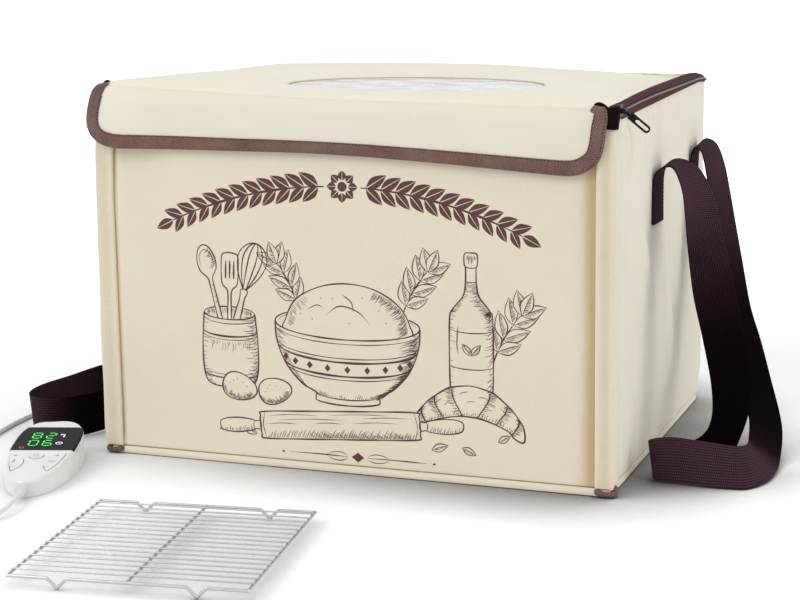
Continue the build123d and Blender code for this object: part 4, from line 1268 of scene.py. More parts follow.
def tool_crock(draw):
    """A crock of kitchen tools: a whisk, a spoon and a slotted turner."""
    draw.frame((-104, 66))
    half = np.array([(23, 64), (25, 40), (24.5, 16), (20, 4), (8, 0.6), (0, 0)])
    rim = bow(0, 64.5, 23, 5.6, 180, 360, 9)
    draw.pair(half, 1.2, 0.9)
    draw.stroke(rim, 1.1, 0.9)
    draw.stroke(bow(0, 61, 23.4, 5.8, 182, 358, 9), 0.7, 0.6)
    for level, thick in ((50, 1.5), (47, 0.6), (17, 0.6), (14, 1.5)):
        draw.stroke(bow(0, level, 24.6, 5.8, 184, 356, 9), thick, 0.7)
    right = half[:5] * (0.985, 1)
    draw.hatch(right, right - (13, 1.5), 42, 0.45, (0.35, 1.0))
    draw.hatch(right, right - (7, 5), 34, 0.4, (0.4, 1.0))
    draw.hatch(right * (-1, 1), right * (-1, 1) + (7, -1), 28, 0.4, (0.3, 1.0))
    draw.hatch(bow(0, 45, 23, 5, 215, 325, 9), bow(0, 24, 23, 5, 215, 325, 9), 18, 0.38, (0.1, 0.5))
    draw.hide(np.vstack([rim, both_sides(half)]))
    draw.frame((-98, 124), -17.0)
    draw.body([(-2.6, 0), (-2.2, 20), (-3.2, 27), (0, 29), (3.2, 27), (2.2, 20), (2.6, 0)], 1.0)
    for wide in (3.5, 8.5, 13.0):
        draw.stroke([(-1.2, 28), (-wide * 0.75, 42), (-wide, 56), (-wide * 0.62, 66), (0, 69.5),
                     (wide * 0.62, 66), (wide, 56), (wide * 0.75, 42), (1.2, 28)], 0.95, 0.9)
    draw.frame((-112, 124), 13.0)
    draw.body([(-1.8, 0), (-1.7, 30), (-2.4, 37), (-7.4, 44), (-8.2, 53), (-5, 62), (0, 65), (5, 62),
               (8.2, 53), (7.4, 44), (2.4, 37), (1.7, 30), (1.8, 0)], 1.0)
    draw.stroke([(-5.6, 47), (-5.4, 56), (0, 61), (5.4, 56), (5.6, 47)], 0.6, 0.3)
    draw.hatch([(7.4, 46), (7.6, 54), (4, 62)], [(1, 44), (1, 52), (-1, 58)], 16, 0.42, (0.4, 1.0))
    draw.hatch([(1.6, 4), (1.6, 32)], [(-0.6, 3), (-0.6, 31)], 18, 0.36, (0.4, 1.0))
    draw.frame((-104, 124), -2.0)
    draw.body([(-1.6, 0), (-1.6, 24), (-6, 30), (-7.4, 36), (-7.4, 54), (-4, 57.5), (4, 57.5), (7.4, 54),
               (7.4, 36), (6, 30), (1.6, 24), (1.6, 0)], 1.0)
    for x in (-3.6, 0, 3.6):
        draw.stroke([(x, 36), (x, 44), (x, 51)], 1.5, 0.6)
    draw.frame((-104, 66))
    draw.stroke(bow(0, 64.5, 23, 5.6, 0, 180, 9), 1.0, 0.8)
    draw.hatch(bow(0, 64.5, 22, 5.0, 20, 160, 9), bow(0, 60, 21, 3.0, 20, 160, 9), 30, 0.5, (0.6, 1.0))
    draw.hide(bow(0, 64.5, 23, 5.6, 0, 345, 24))


def oil_bottle(draw):
    """A corked bottle with a leaf mark on its label."""
    draw.frame((106, 74))
    half = np.array([(0, 118), (5.2, 117), (5.4, 108), (4.4, 106), (4.6, 92), (7, 82), (15, 72), (18, 62),
                     (18, 10), (15, 2), (0, 0)])
    draw.pair(half, 1.2, 0.9)
    for level, wide, deep in ((107, 5.2, 1.4), (95, 4.6, 1.2)):
        draw.stroke(bow(0, level, wide, deep, 180, 360, 7), 0.9, 0.7)
    for level in (56, 26):
        draw.stroke(bow(0, level, 18, 3.6, 182, 358, 9), 0.8, 0.6)
    right = np.array([(4.6, 94), (7, 82), (14.6, 72), (17.6, 62), (17.6, 8)])
    draw.hatch(right, right - (9, 3), 48, 0.44, (0.35, 1.0))
    draw.hatch(right[2:], right[2:] - (5, 6), 30, 0.4, (0.3, 1.0))
    draw.hatch(right * (-1, 1), right * (-1, 1) + (4.5, -1), 36, 0.4, (0.3, 1.0))
    draw.hatch([(-4, 116), (4, 116)], [(-4, 108), (4, 108)], 7, 0.5, (0.5, 1.0))
    draw.stroke([(-11, 58), (-12, 44), (-11, 34)], 0.9, 0.2)
    for side, turn in ((1, 50), (-1, 130)):
        draw.frame((106, 108), turn)
        draw.leaf(12.0, 5.5)
    draw.frame((106, 74))
    draw.hide(both_sides(half))


def make_print():
    """Kitchen things in line work under a leafy arch."""
    draw = Engraving()
    rolling_pin(draw)
    croissant(draw)
    egg(draw, (-66, 66), 12)
    egg(draw, (-98, 68), -14, 1.05)
    mixing_bowl(draw)
    tool_crock(draw)
    oil_bottle(draw)
    for at, turn, length, size, mirror in (((122, 96), 62, 66, 25, False), ((46, 130), 62, 62, 24, False),
                                           ((-40, 130), 66, 60, 23, True)):
        sprig(draw, at, turn, length, 4, size, mirror)
    for at, turn, length in (((-82, 28), 155, 15), ((-104, 34), 200, 13), ((72, 27), 20, 15),
                             ((98, 31), -25, 13), ((128, 38), 30, 12)):
        draw.frame(at, turn)
        draw.leaf(length, length * 0.45)
    garland(draw)
    draw.frame((8.0, 15.0))
    for side in (1, -1):
        draw.stroke(np.array([(8, 0), (34, 0.3), (60, 0)]) * (side, 1), 0.9, 0.3)
        draw.dots(np.array([(66, 0.0)]) * (side, 1), 1.1)
        draw.stroke(np.array([(9, 1.6), (15, 3.6), (22, 3.0), (27, 0.8)]) * (side, 1), 0.8, 0.3)
        draw.stroke(np.array([(9, -1.6), (15, -3.6), (22, -3.0), (27, -0.8)]) * (side, 1), 0.8, 0.3)
    draw.solid([(-5.5, 0), (0, -4.2), (5.5, 0), (0, 4.2)], smooth=False)
    stand_in(draw.cut.make("front_print", PRINT_INK, "front_wall"), "cream_fabric")


make_print()


# ---- controller's display and marks ----
# Where the controller's face is, how it is turned and tilted, and how far buttons and marks stand out of it.
CONTROLLER_AT, CONTROLLER_LIFT = (-243.0, -272.0), 20.9
CONTROLLER_TURN, CONTROLLER_TILT = math.radians(18.0), math.atan(14.0 / 145.6)
BUTTON_TOP, MARK_LIFT, FIGURE_LIFT = 1.0, 0.06, 0.12
# Which segments of each figure are lit, clockwise from the top one, with the middle one last.
LIT_SEGMENTS = {"8": "1111111", "2": "1101101", "0": "1111110", "6": "1011111"}


def on_controller(flat, lift):
    """Points of a drawing on the controller's face, lifted off it, in the shared frame."""
    x, y = flat[..., 0], flat[..., 1]
    ahead = y * math.cos(CONTROLLER_TILT) - lift * math.sin(CONTROLLER_TILT)
    up = CONTROLLER_LIFT + y * math.sin(CONTROLLER_TILT) + lift * math.cos(CONTROLLER_TILT)
    c, s = math.cos(CONTROLLER_TURN), math.sin(CONTROLLER_TURN)
    return columns(CONTROLLER_AT[0] + c * x - s * ahead, CONTROLLER_AT[1] + s * x + c * ahead, up)


def face_line(cut, stations, width, lift, ends=1.0):
    """A flat printed line; ends is the share of its width that is left at its ends."""
    line = np.asarray(stations, float)
    if len(line) == 2:
        line = line[0] + (line[1] - line[0]) * np.array([[0], [0.14], [0.86], [1]])
    half = np.full(len(line), width / 2)
    half[[0, -1]] *= ends
    left = left_hand(line) * half[:, None]
    cut.grid(on_controller(np.stack([line - left, line + left], 1), lift))


def make_display():
    """Two rows of green figures, with a small white sign beside each and a red lamp in the corner."""
    figures, signs, lamp = Cut(), Cut(), Cut()
    w, h, lift = 3.5, 6.3, FIGURE_LIFT
    corners = {"a": (-w, h), "b": (w, h), "c": (w, 0), "d": (w, -h), "e": (-w, -h), "f": (-w, 0)}
    for text, y in (("82", 33.7), ("06", 15.9)):
        for figure, x in zip(text, (-10.2, 1.6)):
            for lit, (one, two) in zip(LIT_SEGMENTS[figure], ("ab", "bc", "cd", "de", "ef", "fa", "fc")):
                a, b = (np.array(corners[k]) + (x, y) for k in (one, two))
                gap = (b - a) / np.linalg.norm(b - a) * 0.75
                if lit == "1":
                    face_line(figures, [a + gap, b - gap], 1.15, lift, 0.25)
    face_line(signs, bow(10.2, 36.4, 1.0, 1.0, 0, 360, 17), 0.6, lift)
    face_line(signs, [(12.6, 37.2), (12.6, 31.4)], 1.0, lift)
    face_line(signs, [(12.2, 31.2), (13.0, 31.2)], 2.0, lift)
    face_line(signs, bow(11.6, 15.6, 2.7, 2.7, 0, 360, 21), 0.7, lift)
    face_line(signs, [(11.6, 17.2), (11.6, 15.4), (13.0, 15.4)], 0.6, lift)
    face_line(lamp, bow(-18.0, 4.6, 1.8, 1.8, 0, 360, 21), 0.75, lift)
    for cut, name, material in ((figures, "display_figures", LIT_GREEN), (signs, "display_signs", LIT_WHITE),
                                (lamp, "display_lamp", LIT_RED)):
        stand_in(cut.make(name, material, "base", smooth=False, settled=False), "display_black")


# For each rocker: the middle of its plus, of the sign under it and of its minus, across the face.
ROCKER_MARKS = {"temperature_rocker": (-18.0, -16.8, -15.2), "timer_rocker": (16.6, 14.6, 12.6)}


def make_button_marks():
    """Plus and minus on each rocker with a sign between them, and the ring and bar on the power button."""
    lift = BUTTON_TOP + MARK_LIFT

    def finish(cut, name, body):
        made = cut.make(name, ICON_GREY, body, smooth=False, settled=False)
        stand_in(made, "controller_white")

    for body, (x, icon_x, low_x) in ROCKER_MARKS.items():
        cut = Cut()
        for bar in (((x - 2.1, -16.6), (x + 2.1, -16.6)), ((x, -18.7), (x, -14.5)),
                    ((low_x - 2.1, -42.2), (low_x + 2.1, -42.2))):
            face_line(cut, bar, 0.6, lift)
        if body == "temperature_rocker":
            bulb, cap = bow(icon_x, -32.2, 1.3, 1.3, 125, 415, 15), bow(icon_x, -27.2, 0.75, 0.75, 0, 180, 7)
            face_line(cut, np.vstack([bulb, cap, [(icon_x - 0.75, -31.1)]]), 0.4, lift)
            face_line(cut, [(icon_x, -32.2), (icon_x, -28.6)], 0.45, lift)
        else:
            face_line(cut, bow(icon_x, -30.0, 2.5, 2.5, 70, 380, 19), 0.5, lift)
            face_line(cut, [(icon_x + 2.5, -27.6), (icon_x + 2.4, -29.4), (icon_x + 4.0, -30.2)], 0.4, lift)
            face_line(cut, [(icon_x, -28.4), (icon_x, -30.2), (icon_x + 1.3, -30.9)], 0.4, lift)
        finish(cut, body + "_marks", body)
    power, rim = Cut(), Cut()
    face_line(power, bow(-0.8, -16.2, 2.2, 2.2, 120, 420, 23), 0.5, lift)
    face_line(power, [(-0.8, -12.9), (-0.8, -15.9)], 0.5, lift)
    finish(power, "power_button_mark", "power_button")
    tube(rim, on_controller(bow(-0.8, -16.0, 5.2, 5.2, 0, 360, 49), BUTTON_TOP), 0.28, 8)
    stand_in(rim.make("power_button_rim", WHITE_SHELL, "power_button", settled=False), "controller_white")


make_display()
make_button_marks()


# ---- lid ----
WINDOW_AT, WINDOW_HALF = (-4.0, -5.0), (117.0, 99.0)
# How far the lid stands over its flat height along its front and rear edges.
FRONT_RISE = (
    (-222, 7.4), (-214, 7.0), (-118, 3.2), (-22, -0.4), (60, -1.4), (178, -2.2), (204, -2.7), (222, -3.0))
REAR_RISE = (
    (-222, 3.6), (-153, 6.0), (-67, 7.0), (16, 6.6), (78, 3.8), (137, 1.6), (180, -2.4), (196, -3.6),
    (222, -7.0))


def eased(table, x):
    """The value at x from a table, with its corners smoothed away."""
    return sum(from_table(np.asarray(x, float) + shift, table) for shift in (-24, -12, 0, 12, 24)) / 5


def lid_rise(x, y):
    """How far the padded lid stands over its flat height at its edges."""
    back = np.clip((np.asarray(y, float) + DEEP) / (2 * DEEP), 0, 1)
    return eased(FRONT_RISE, x) * (1 - back) + eased(REAR_RISE, x) * back


def lid_surface(x, y):
    """The height of the lid's padded top, pulled down where the window is sewn in."""
    away = np.hypot((x - WINDOW_AT[0]) / WINDOW_HALF[0], (y - WINDOW_AT[1]) / WINDOW_HALF[1])
    hollow = 1 - 0.75 * bell(away, 1.0, 0.35)
    roll = 2.2 * smooth_step((y + 192.0) / 8.0) * smooth_step((110.0 - y) / 260.0)
    seam = 0.8 * bell(away, 1.0, 0.10)
    return TALL + (lid_rise(x, y) + roll) * hollow - seam + 0.35 * ripple(x, y, 70.0, 1.1)


# The lid's rings from the window out: round the opening (inset, height), over the top (share of the way out,
# drop), over the edge (inset, drop) and down the skirt (share of the outline, height).
OPENING_RINGS = ((0.7, 311.6), (0.1, 312.0), (0.0, 312.5))
TOP_RINGS = ((0.008, 0.5), (0.02, 0.15), (0.05, 0)) + tuple((t, 0) for t in np.linspace(0.1, 0.97, 16))
EDGE_RINGS = ((2.4, 0.1), (1.2, 0.5), (0.3, 1.3), (0.0, 2.6))
SKIRT_RINGS = ((1.0, 307.6), (0.996, 306.6), (0.97, 306.5))
FIRST_EDGE = len(OPENING_RINGS) + len(TOP_RINGS)


def lid_outlines():
    """The lid's outline, and for each of its points the one on the window's opening in the same direction."""
    outer = rounded_rectangle(-219.5, 219.5, -192.2, 189.5, (5, 5, 8, 8))
    bearing = np.arctan2(outer[:, 1] - WINDOW_AT[1], outer[:, 0] - WINDOW_AT[0])
    reach = 1 / np.hypot(np.cos(bearing) / WINDOW_HALF[0], np.sin(bearing) / WINDOW_HALF[1])
    return outer, np.c_[WINDOW_AT[0] + reach * np.cos(bearing), WINDOW_AT[1] + reach * np.sin(bearing)]


def make_lid():
    """The padded lid with its oval opening and a turned-down edge."""
    outer, inner = lid_outlines()
    rings = []
    for inset, height in OPENING_RINGS:
        rings.append(level_ring(inner - (inner - WINDOW_AT) * inset / 110.0, height))
    for share, drop in TOP_RINGS:
        ring = inner + (outer - inner) * share
        rings.append(level_ring(ring, lid_surface(*ring.T) - drop))
    for inset, drop in EDGE_RINGS:
        ring = outer * (1 - inset / 200.0)
        rings.append(level_ring(ring, lid_surface(*ring.T) - drop))
    rings += [level_ring(outer * share, height) for share, height in SKIRT_RINGS]
    outward = outer / np.linalg.norm(outer, axis=1)[:, None]
    places = []
    for k, ring in enumerate(rings):
        flat, height = ring[:, :2], ring[:, 2:]
        if k > FIRST_EDGE + 2:
            places.append(level_ring(outer + outward * (TALL - height), 0))
        else:
            places.append(level_ring(flat, 312 - height[:, 0] if k < FIRST_EDGE + 2 else 0))
    # Painted shade on the two rings that turn in round the window's opening.
    shade = [np.full(len(outer), 0.6 if k < 2 else 0.0) for k in range(len(rings))]
    cut = Cut()
    cut.grid(rings, places, shade, close_columns=True, flip=True)
    lid = cut.make("lid_cloth", OXFORD, "lid")
    stand_in(lid, "cream_fabric", "lid_cover", "lid_board")


def make_lid_lining():
    """The quilted foil under the lid, with its opening drawn up to the window."""
    outer, inner = lid_outlines()
    rings = [level_ring(outer * 0.985, 306.9), level_ring(outer * 0.98, 306.2)]
    for t in np.linspace(0.85, 0.0, 9):
        ring = inner + (outer - inner) * t
        seams = np.abs(np.prod(np.sin(math.pi * ring / LINING_CELL), axis=1))
        rings.append(level_ring(ring, 306.5 - 0.5 * seams ** 0.6))
    rings.append(level_ring(inner, 311.0))
    cut = Cut()
    cut.grid(rings, close_columns=True, flip=True)
    stand_in(cut.make("lid_lining_foil", LINING, "lid"), "lining_foil", "lid_lining")


FILM_LOW, FILM_THICK, FILM_SIDES = 311.15, 0.4, 96


def make_window():
    """Clear film with the slow ripples of a sheet sewn in by hand."""
    cut = Cut()
    angles = np.linspace(0, 2 * math.pi, FILM_SIDES, endpoint=False)
    shares = np.concatenate([[0.0008], np.linspace(0.07, 1.035, 15)])
    rims = []
    for top in (True, False):
        rings = []
        for t in shares:
            x = WINDOW_AT[0] + WINDOW_HALF[0] * t * np.cos(angles)
            y = WINDOW_AT[1] + WINDOW_HALF[1] * t * np.sin(angles)
            wave = 0.55 * ripple(x, y, 26.0, 0.5) + 0.35 * ripple(x * 0.5, y, 11.0, 2.4)
            z = FILM_LOW + wave * smooth_step((1.0 - t) / 0.2) + (FILM_THICK if top else 0.0)
            rings.append(columns(x, y, z))
        first = cut.grid(rings, close_columns=True, flip=not top)
        centre = range(first, first + FILM_SIDES)
        cut.fill(centre if top else reversed(centre))
        rims.append(first + (len(shares) - 1) * FILM_SIDES + np.arange(FILM_SIDES))
    cut.quads(np.array(rims), close_columns=True)
    stand_in(cut.make("window_film_sheet", FILM, "lid"), "window_film", "lid_window")


make_lid()
make_lid_lining()
make_window()


# ---- flap over the front of the lid ----
# The height of the flap's lower edge across the box, how far down the cloth runs, and the turn at its top.
FLAP_LOW = (
    (-232, 266.6), (-213, 266.9), (-147, 267.3), (-99, 267.6), (-37, 268.0), (2, 267.2), (40, 265.5),
    (91, 262.8), (132, 260.0), (181, 256.8), (216, 255.0))
FLAP_DROP, FLAP_TURN = 52.0, 3.0


def flap_point(x, v, d):
    """A point on the flap: v is minus the way down from the lid's seam, d is out from the cloth's face."""
    x, down, d = np.broadcast_arrays(np.asarray(x, float), -np.asarray(v, float), np.asarray(d, float))
    top = TALL + lid_rise(x, -DEEP + 0 * x)
    low = eased(FLAP_LOW, x)
    turn = np.clip(down / FLAP_TURN, 0, 1) * math.pi / 2
    fall = np.maximum(down - FLAP_TURN, 0) / (FLAP_DROP - FLAP_TURN)
    over = np.maximum(-down, 0)
    y = -192.3 + over - 1.2 * np.sin(turn) - 2.3 * smooth_step(fall * 4)
    z = top - 0.5 + 0.25 * over - 1.5 * (1 - np.cos(turn)) - fall * (top - 2.0 - low)
    wave = 0.7 * ripple(x, down * 1.4, 55.0, 0.7) * smooth_step(fall * 2.5) * smooth_step((1 - fall) * 3)
    wave += fold(x, down, (-120, 14), (-85, 44), 9.0, 1.0) - fold(x, down, (-98, 12), (-62, 44), 9.0, 0.9)
    corner_lift = 7.0 * smooth_step((-150 - x) / 70.0) * smooth_step(fall * 1.4)
    out = d + wave + corner_lift
    return x, y - out * np.sin(turn), z + out * np.cos(turn)


FLAP_LEFT = (
    (-215.0, 4.4), (-219.2, 2.2), (-223.8, -1.8), (-227.6, -5.8), (-229.2, -14.0), (-230.0, -25.0),
    (-229.0, -34.0), (-225.8, -41.2), (-220.8, -46.0), (-213.5, -49.6), (-202.0, -51.6))
FLAP_RIGHT = (
    (186.0, -51.6), (195.5, -49.8), (203.6, -45.6), (209.6, -40.2), (213.0, -33.0), (214.6, -25.0),
    (215.9, -15.0), (217.0, -7.5), (215.6, -1.6), (211.5, 2.6), (206.0, 4.8))
# The binding's section: how far in from the flap's edge, and how far out from its cloth.
BINDING_SECTION = (
    (11.4, 0.1), (11.2, 1.0), (7.2, 1.5), (2.5, 1.4), (0.4, 0.6), (0.0, -1.4), (0.5, -3.5), (2.5, -4.1),
    (7.2, -4.1), (11.0, -3.9), (11.4, -3.3))
# Small tucks where the binding is caught in the lid's seam: radius and the line of each.
TUCKS = (
    (1.1, ((-219.0, -189.4, 320.6), (-217.6, -188.4, 321.9), (-215.8, -187.4, 322.5),
           (-214.2, -186.6, 322.0))),
    (1.5, ((204.5, -187.4, 311.9), (207.5, -188.6, 313.0), (211.0, -190.0, 312.6), (215.4, -191.2, 310.9))))


def flap_outline():
    """The flap's edge as (x, v): down the left side, along the bottom and up the right side."""
    bottom = tuple((x, -FLAP_DROP + 0.1) for x in np.linspace(-186, 172, 14))
    return smooth_curve(FLAP_LEFT + bottom + FLAP_RIGHT, 5)


def make_flap():
    """The flap's cloth, its binding with two rows of stitches, and the tucks at its ends."""
    cloth = panel("flap_cloth", OXFORD, flap_point, (-220.0, 208.0), (-FLAP_DROP + 4.5, 0.0), 2.8,
                  step=4.0, edge=0.8, corners=(24, 24, 3, 3), hem=0, settled=False,
                  # painted shade along the turn at the flap's top
                  crease=lambda x, v: 0.4 * bell(v, -0.3, 0.6))
    stand_in(cloth, "cream_fabric", "flap_panel")
    outline = flap_outline()
    inward, length = left_hand(outline), run_length(outline)
    profile = smooth_curve(BINDING_SECTION, 2)
    around = run_length(profile)
    rings, places = [], []
    for spot, way, run in zip(outline, inward, length):
        narrow = 0.3 + 0.5 * smooth_step(run / 18.0) + 0.2 * smooth_step((length[-1] - run) / 10.0)
        x, v = (spot[i] + way[i] * profile[:, 0] * narrow for i in (0, 1))
        rings.append(columns(*flap_point(x, v, profile[:, 1])))
        places.append(columns(run, around, 0))
    tape = Cut()
    tape.loft(rings, places)
    binding = tape.make("flap_edge_binding", BINDING, settled=False)
    stand_in(binding, "twill_binding", "flap_binding")
    sewing = Cut()
    for inset, lift, part in ((10.6, 1.25, slice(14, -6)), (1.6, 1.2, slice(len(outline) - 42, -6))):
        x, v = (outline + inward * inset)[part].T
        stitches(sewing, columns(*flap_point(x, np.minimum(v, -0.5), lift)), 2.8, 1.7, 0.36)
    thread = sewing.make("flap_stitching", THREAD_BROWN, settled=False)
    stand_in(thread, "twill_binding")
    for piece in (cloth, binding, thread):
        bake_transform(piece)
    tucks = Cut()
    for radius, ends in TUCKS:
        line = smooth_curve(ends, 4)
        tube(tucks, line, radius * np.sin(np.linspace(0.5, math.pi - 0.5, len(line))), 10)
    # Painted shade: the tucks take the tape's near-black deep colour all over.
    tucks.creases = [np.ones(tucks.count)]
    stand_in(tucks.make("flap_binding_tucks", ZIP_TAPE, "lid", settled=False), "twill_binding")


make_flap()


def make_bands():
    """Loop band at the top of the front wall and hook band on the flap's back."""
    def relief(x, z):
        return 0.12 * np.sin(x * 3.1) * np.sin(z * 3.7)

    for kind, body, thick, at in (("loop", "front_wall", 1.2, lambda x, z, d: (x, -191.3 - d, z)),
                                  ("hook", "flap", 1.0, lambda x, z, d: (-x, -192.0 + d, z))):
        band = panel(f"closure_{kind}_pile", PILE, at, (-195, 195), (279, 301), thick, body=body,
                     relief=relief, step=4.0, edge=0.5, corners=(3,) * 4, hem=0)
        stand_in(band, "hook_and_loop", f"closure_{kind}_band")


make_bands()


# ---- zips ----
SEAM_TOP, SEAM_DEEP = 306.6, 6.6       # the wall tape's upper edge, and its height where it isn't narrowed
# The wall tape's lower edge and the right lid tape's lift, by depth, and the lid tape's section as (x, z).
WALL_TAPE_LOW = ((-133, 300.0), (-42, 300.4), (60, 302.4), (149, 303.8), (186, 304.4))
LID_TAPE_LIFT = ((-190, -2.9), (-91, -1.9), (-29, -1.4), (60, -0.9), (120, -0.9), (150, -2.4), (188, -5.0))
LID_TAPE_SECTION = (
    (220.9, 308.0), (221.5, 310.0), (221.6, 312.0), (221.2, 313.6), (219.9, 314.8), (217.6, 315.2),
    (215.4, 314.3), (213.6, 312.2), (214.6, 311.4), (217.2, 313.6), (219.4, 313.9), (220.4, 312.8),
    (220.7, 310.5), (220.2, 308.0))
LID_TAPE_LOW, LID_TAPE_END = 308.0, 188
COIL_PITCH, COIL_RADIUS, COIL_SWELL = 1.32, 1.05, 0.28
TAIL_LOW, TAIL_TOP = 294.4, 311.6


def make_wall_tape(side, name):
    """The tape along the top of the side wall, narrower towards the rear."""
    def band(y, z, d):
        low = from_table(side * y, WALL_TAPE_LOW)
        return side * (221.2 + d), side * y, SEAM_TOP - (SEAM_TOP - z) * (SEAM_TOP - low) / SEAM_DEEP

    span, corners = ((-166, 184), (0.5, 4.5, 0.5, 0.5)) if side > 0 else ((-184, 166), (4.5, 0.5, 0.5, 0.5))
    tape = panel(f"{name}_wall_tape", ZIP_TAPE, band, span, (SEAM_TOP - SEAM_DEEP, SEAM_TOP), 0.8, step=4.0,
                 edge=0.35, corners=corners, hem=0, relief=lambda y, z: 0.3 * ripple(y, z * 3, 22.0, 1.0))
    stand_in(tape, "zip_tape", f"{name}_zip_tape")
    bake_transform(tape)


def make_lid_tape(side, name):
    """The tape that is folded round the lid's edge."""
    section = smooth_curve(LID_TAPE_SECTION, 2)
    around = run_length(section)
    above = section[:, 1] - LID_TAPE_LOW
    rings, places = [], []
    for y in np.linspace(-187, LID_TAPE_END, 95):
        lift = from_table(y, LID_TAPE_LIFT) if side > 0 else -2.6
        end = 1 - 0.5 * (1 - smooth_step((LID_TAPE_END - y) / 8.0))
        z = LID_TAPE_LOW + above * end + lift * smooth_step(above / 5.5) * end
        rings.append(columns(side * section[:, 0], y, z))
        places.append(columns(y, around, 0))
    cut = Cut()
    cut.loft(rings, places, flip=side > 0)
    stand_in(cut.make(f"{name}_lid_tape", ZIP_TAPE, "lid"), "zip_tape", f"{name}_lid_zip")


def make_coil(side, name):
    """The zip's coil, and a painted highlight along its outside: a thin pale tube."""
    coil, cord = Cut(), Cut()
    y = np.arange(-184, 184, 0.33)
    tube(coil, columns(side * 221.6, y, 307.4),
         COIL_RADIUS + COIL_SWELL * np.sin(y * 2 * math.pi / COIL_PITCH), 8)
    stand_in(coil.make(f"{name}_zip_coil", COIL, "lid"), "zip_tape")
    # Painted highlight: a thin pale tube along the coil's outer face.
    tube(cord, columns(side * 222.8, np.linspace(-172, 183, 60), 307.5), 0.27, 6)
    stand_in(cord.make(f"{name}_zip_coil_painted_highlight", COIL_PAINTED_HIGHLIGHT, "lid"), "zip_tape")


def make_zip_tail(side, name):
    """The tape's folded tail over the front corner."""
    rings = []
    for z in np.linspace(TAIL_LOW, TAIL_TOP, 9):
        rise = (z - TAIL_LOW) / (TAIL_TOP - TAIL_LOW)
        reach = -191.0 + 22.0 * rise
        over = 1.6 * smooth_step((rise - 0.75) / 0.25)
        ring = ((213.4 + 0.8 * rise, -192.9 + over), (217, -194.3 + over), (221.0, -194.7 + over),
                (224.3, -193.2 + 0.5 * over), (224.5, -190.8), (224.2, -189 + 8 * rise), (223.7, reach),
                (222.5, reach), (222.4, -190.6), (220.6, -192.2), (214, -192.2))
        rings.append([(side * x, y, z) for x, y in ring])
    tail = Cut()
    # Painted shade: the whole tail takes the tape's near-black deep colour.
    tail.loft(rings, None, np.ones((9, 11)), flip=side < 0)
    stand_in(tail.make(f"{name}_zip_tail", ZIP_TAPE, "front_wall"), "zip_tape")


for side, name in SIDES:
    make_wall_tape(side, name)
    make_lid_tape(side, name)
    make_coil(side, name)
    make_zip_tail(side, name)


# ---- hinge cloth at the back ----
def make_lid_hinge():
    """The strip of cloth that the lid turns on, sewn to the rear wall and to the lid."""
    hinge = panel("lid_hinge_cloth", OXFORD, lambda x, z, d: (-x, 190.9 + d, z), (-214, 214), (299.0, 313.5),
                  0.9, step=3.0, edge=0.4, corners=(2,) * 4, hem=0,
                  relief=lambda x, z: 0.25 * ripple(x, z, 30.0, 0.2),
                  # painted shade along the fold where the lid turns
                  crease=lambda x, z: 0.5 * bell(z, 306.3, 1.2))
    stand_in(hinge, "cream_fabric")
    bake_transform(hinge)


make_lid_hinge()


# ---- carrying straps ----
# Each strap is a row of stations: the place of its one edge and of its other.
# The shades are painted shade on each station.
RIGHT_STRAP = (
    (221.3, -46, 200, 221.3, -6, 200), (221.3, -46, 236, 221.3, -6, 236), (227, -46, 247, 226, -7, 248),
    (238, -47, 249, 238, -9, 252), (247, -49, 232, 255, -14, 245), (251, -52, 210, 269, -19, 222),
    (254, -56, 188, 279, -28, 190), (261, -62, 146, 292, -41, 150), (271, -68, 110, 303, -49, 108),
    (280, -72, 72, 311, -52, 72), (282, -76, 45, 309, -58, 42), (277, -88, 32, 299, -77, 11),
    (264, -104, 27, 290, -92, 1.2), (252, -116, 26, 272, -100, 1.2), (242, -122, 28, 255, -106, 1.2),
    (238, -127, 33, 242, -120, 1.2), (243, -131, 36.5, 250, -132, 1.2), (260, -131, 39, 267, -133, 1.2),
    (279, -129, 37.5, 288, -135, 1.2), (296, -121, 34, 308, -134, 1.2), (306, -106, 29, 322, -130, 1.2),
    (311, -90, 26, 333, -108, 1.6), (312, -76, 24, 337, -78, 2.5), (311, -60, 26, 336, -48, 7),
    (305, -28, 38, 331, -10, 26), (288, 10, 63, 313, 36, 58), (276, 34, 86, 300, 62, 84),
    (266, 54, 112, 286, 84, 112), (256, 72, 150, 274, 105, 150), (249, 86, 185, 264, 120, 184),
    (243, 97, 212, 256, 132, 212), (238, 105, 232, 249, 141, 234), (233, 110, 246, 240, 148, 250),
    (227, 112, 250, 229, 151, 254), (222.8, 113, 243, 222.8, 153, 246), (221.3, 113, 232, 221.3, 153, 232),
    (221.3, 113, 208, 221.3, 153, 208))
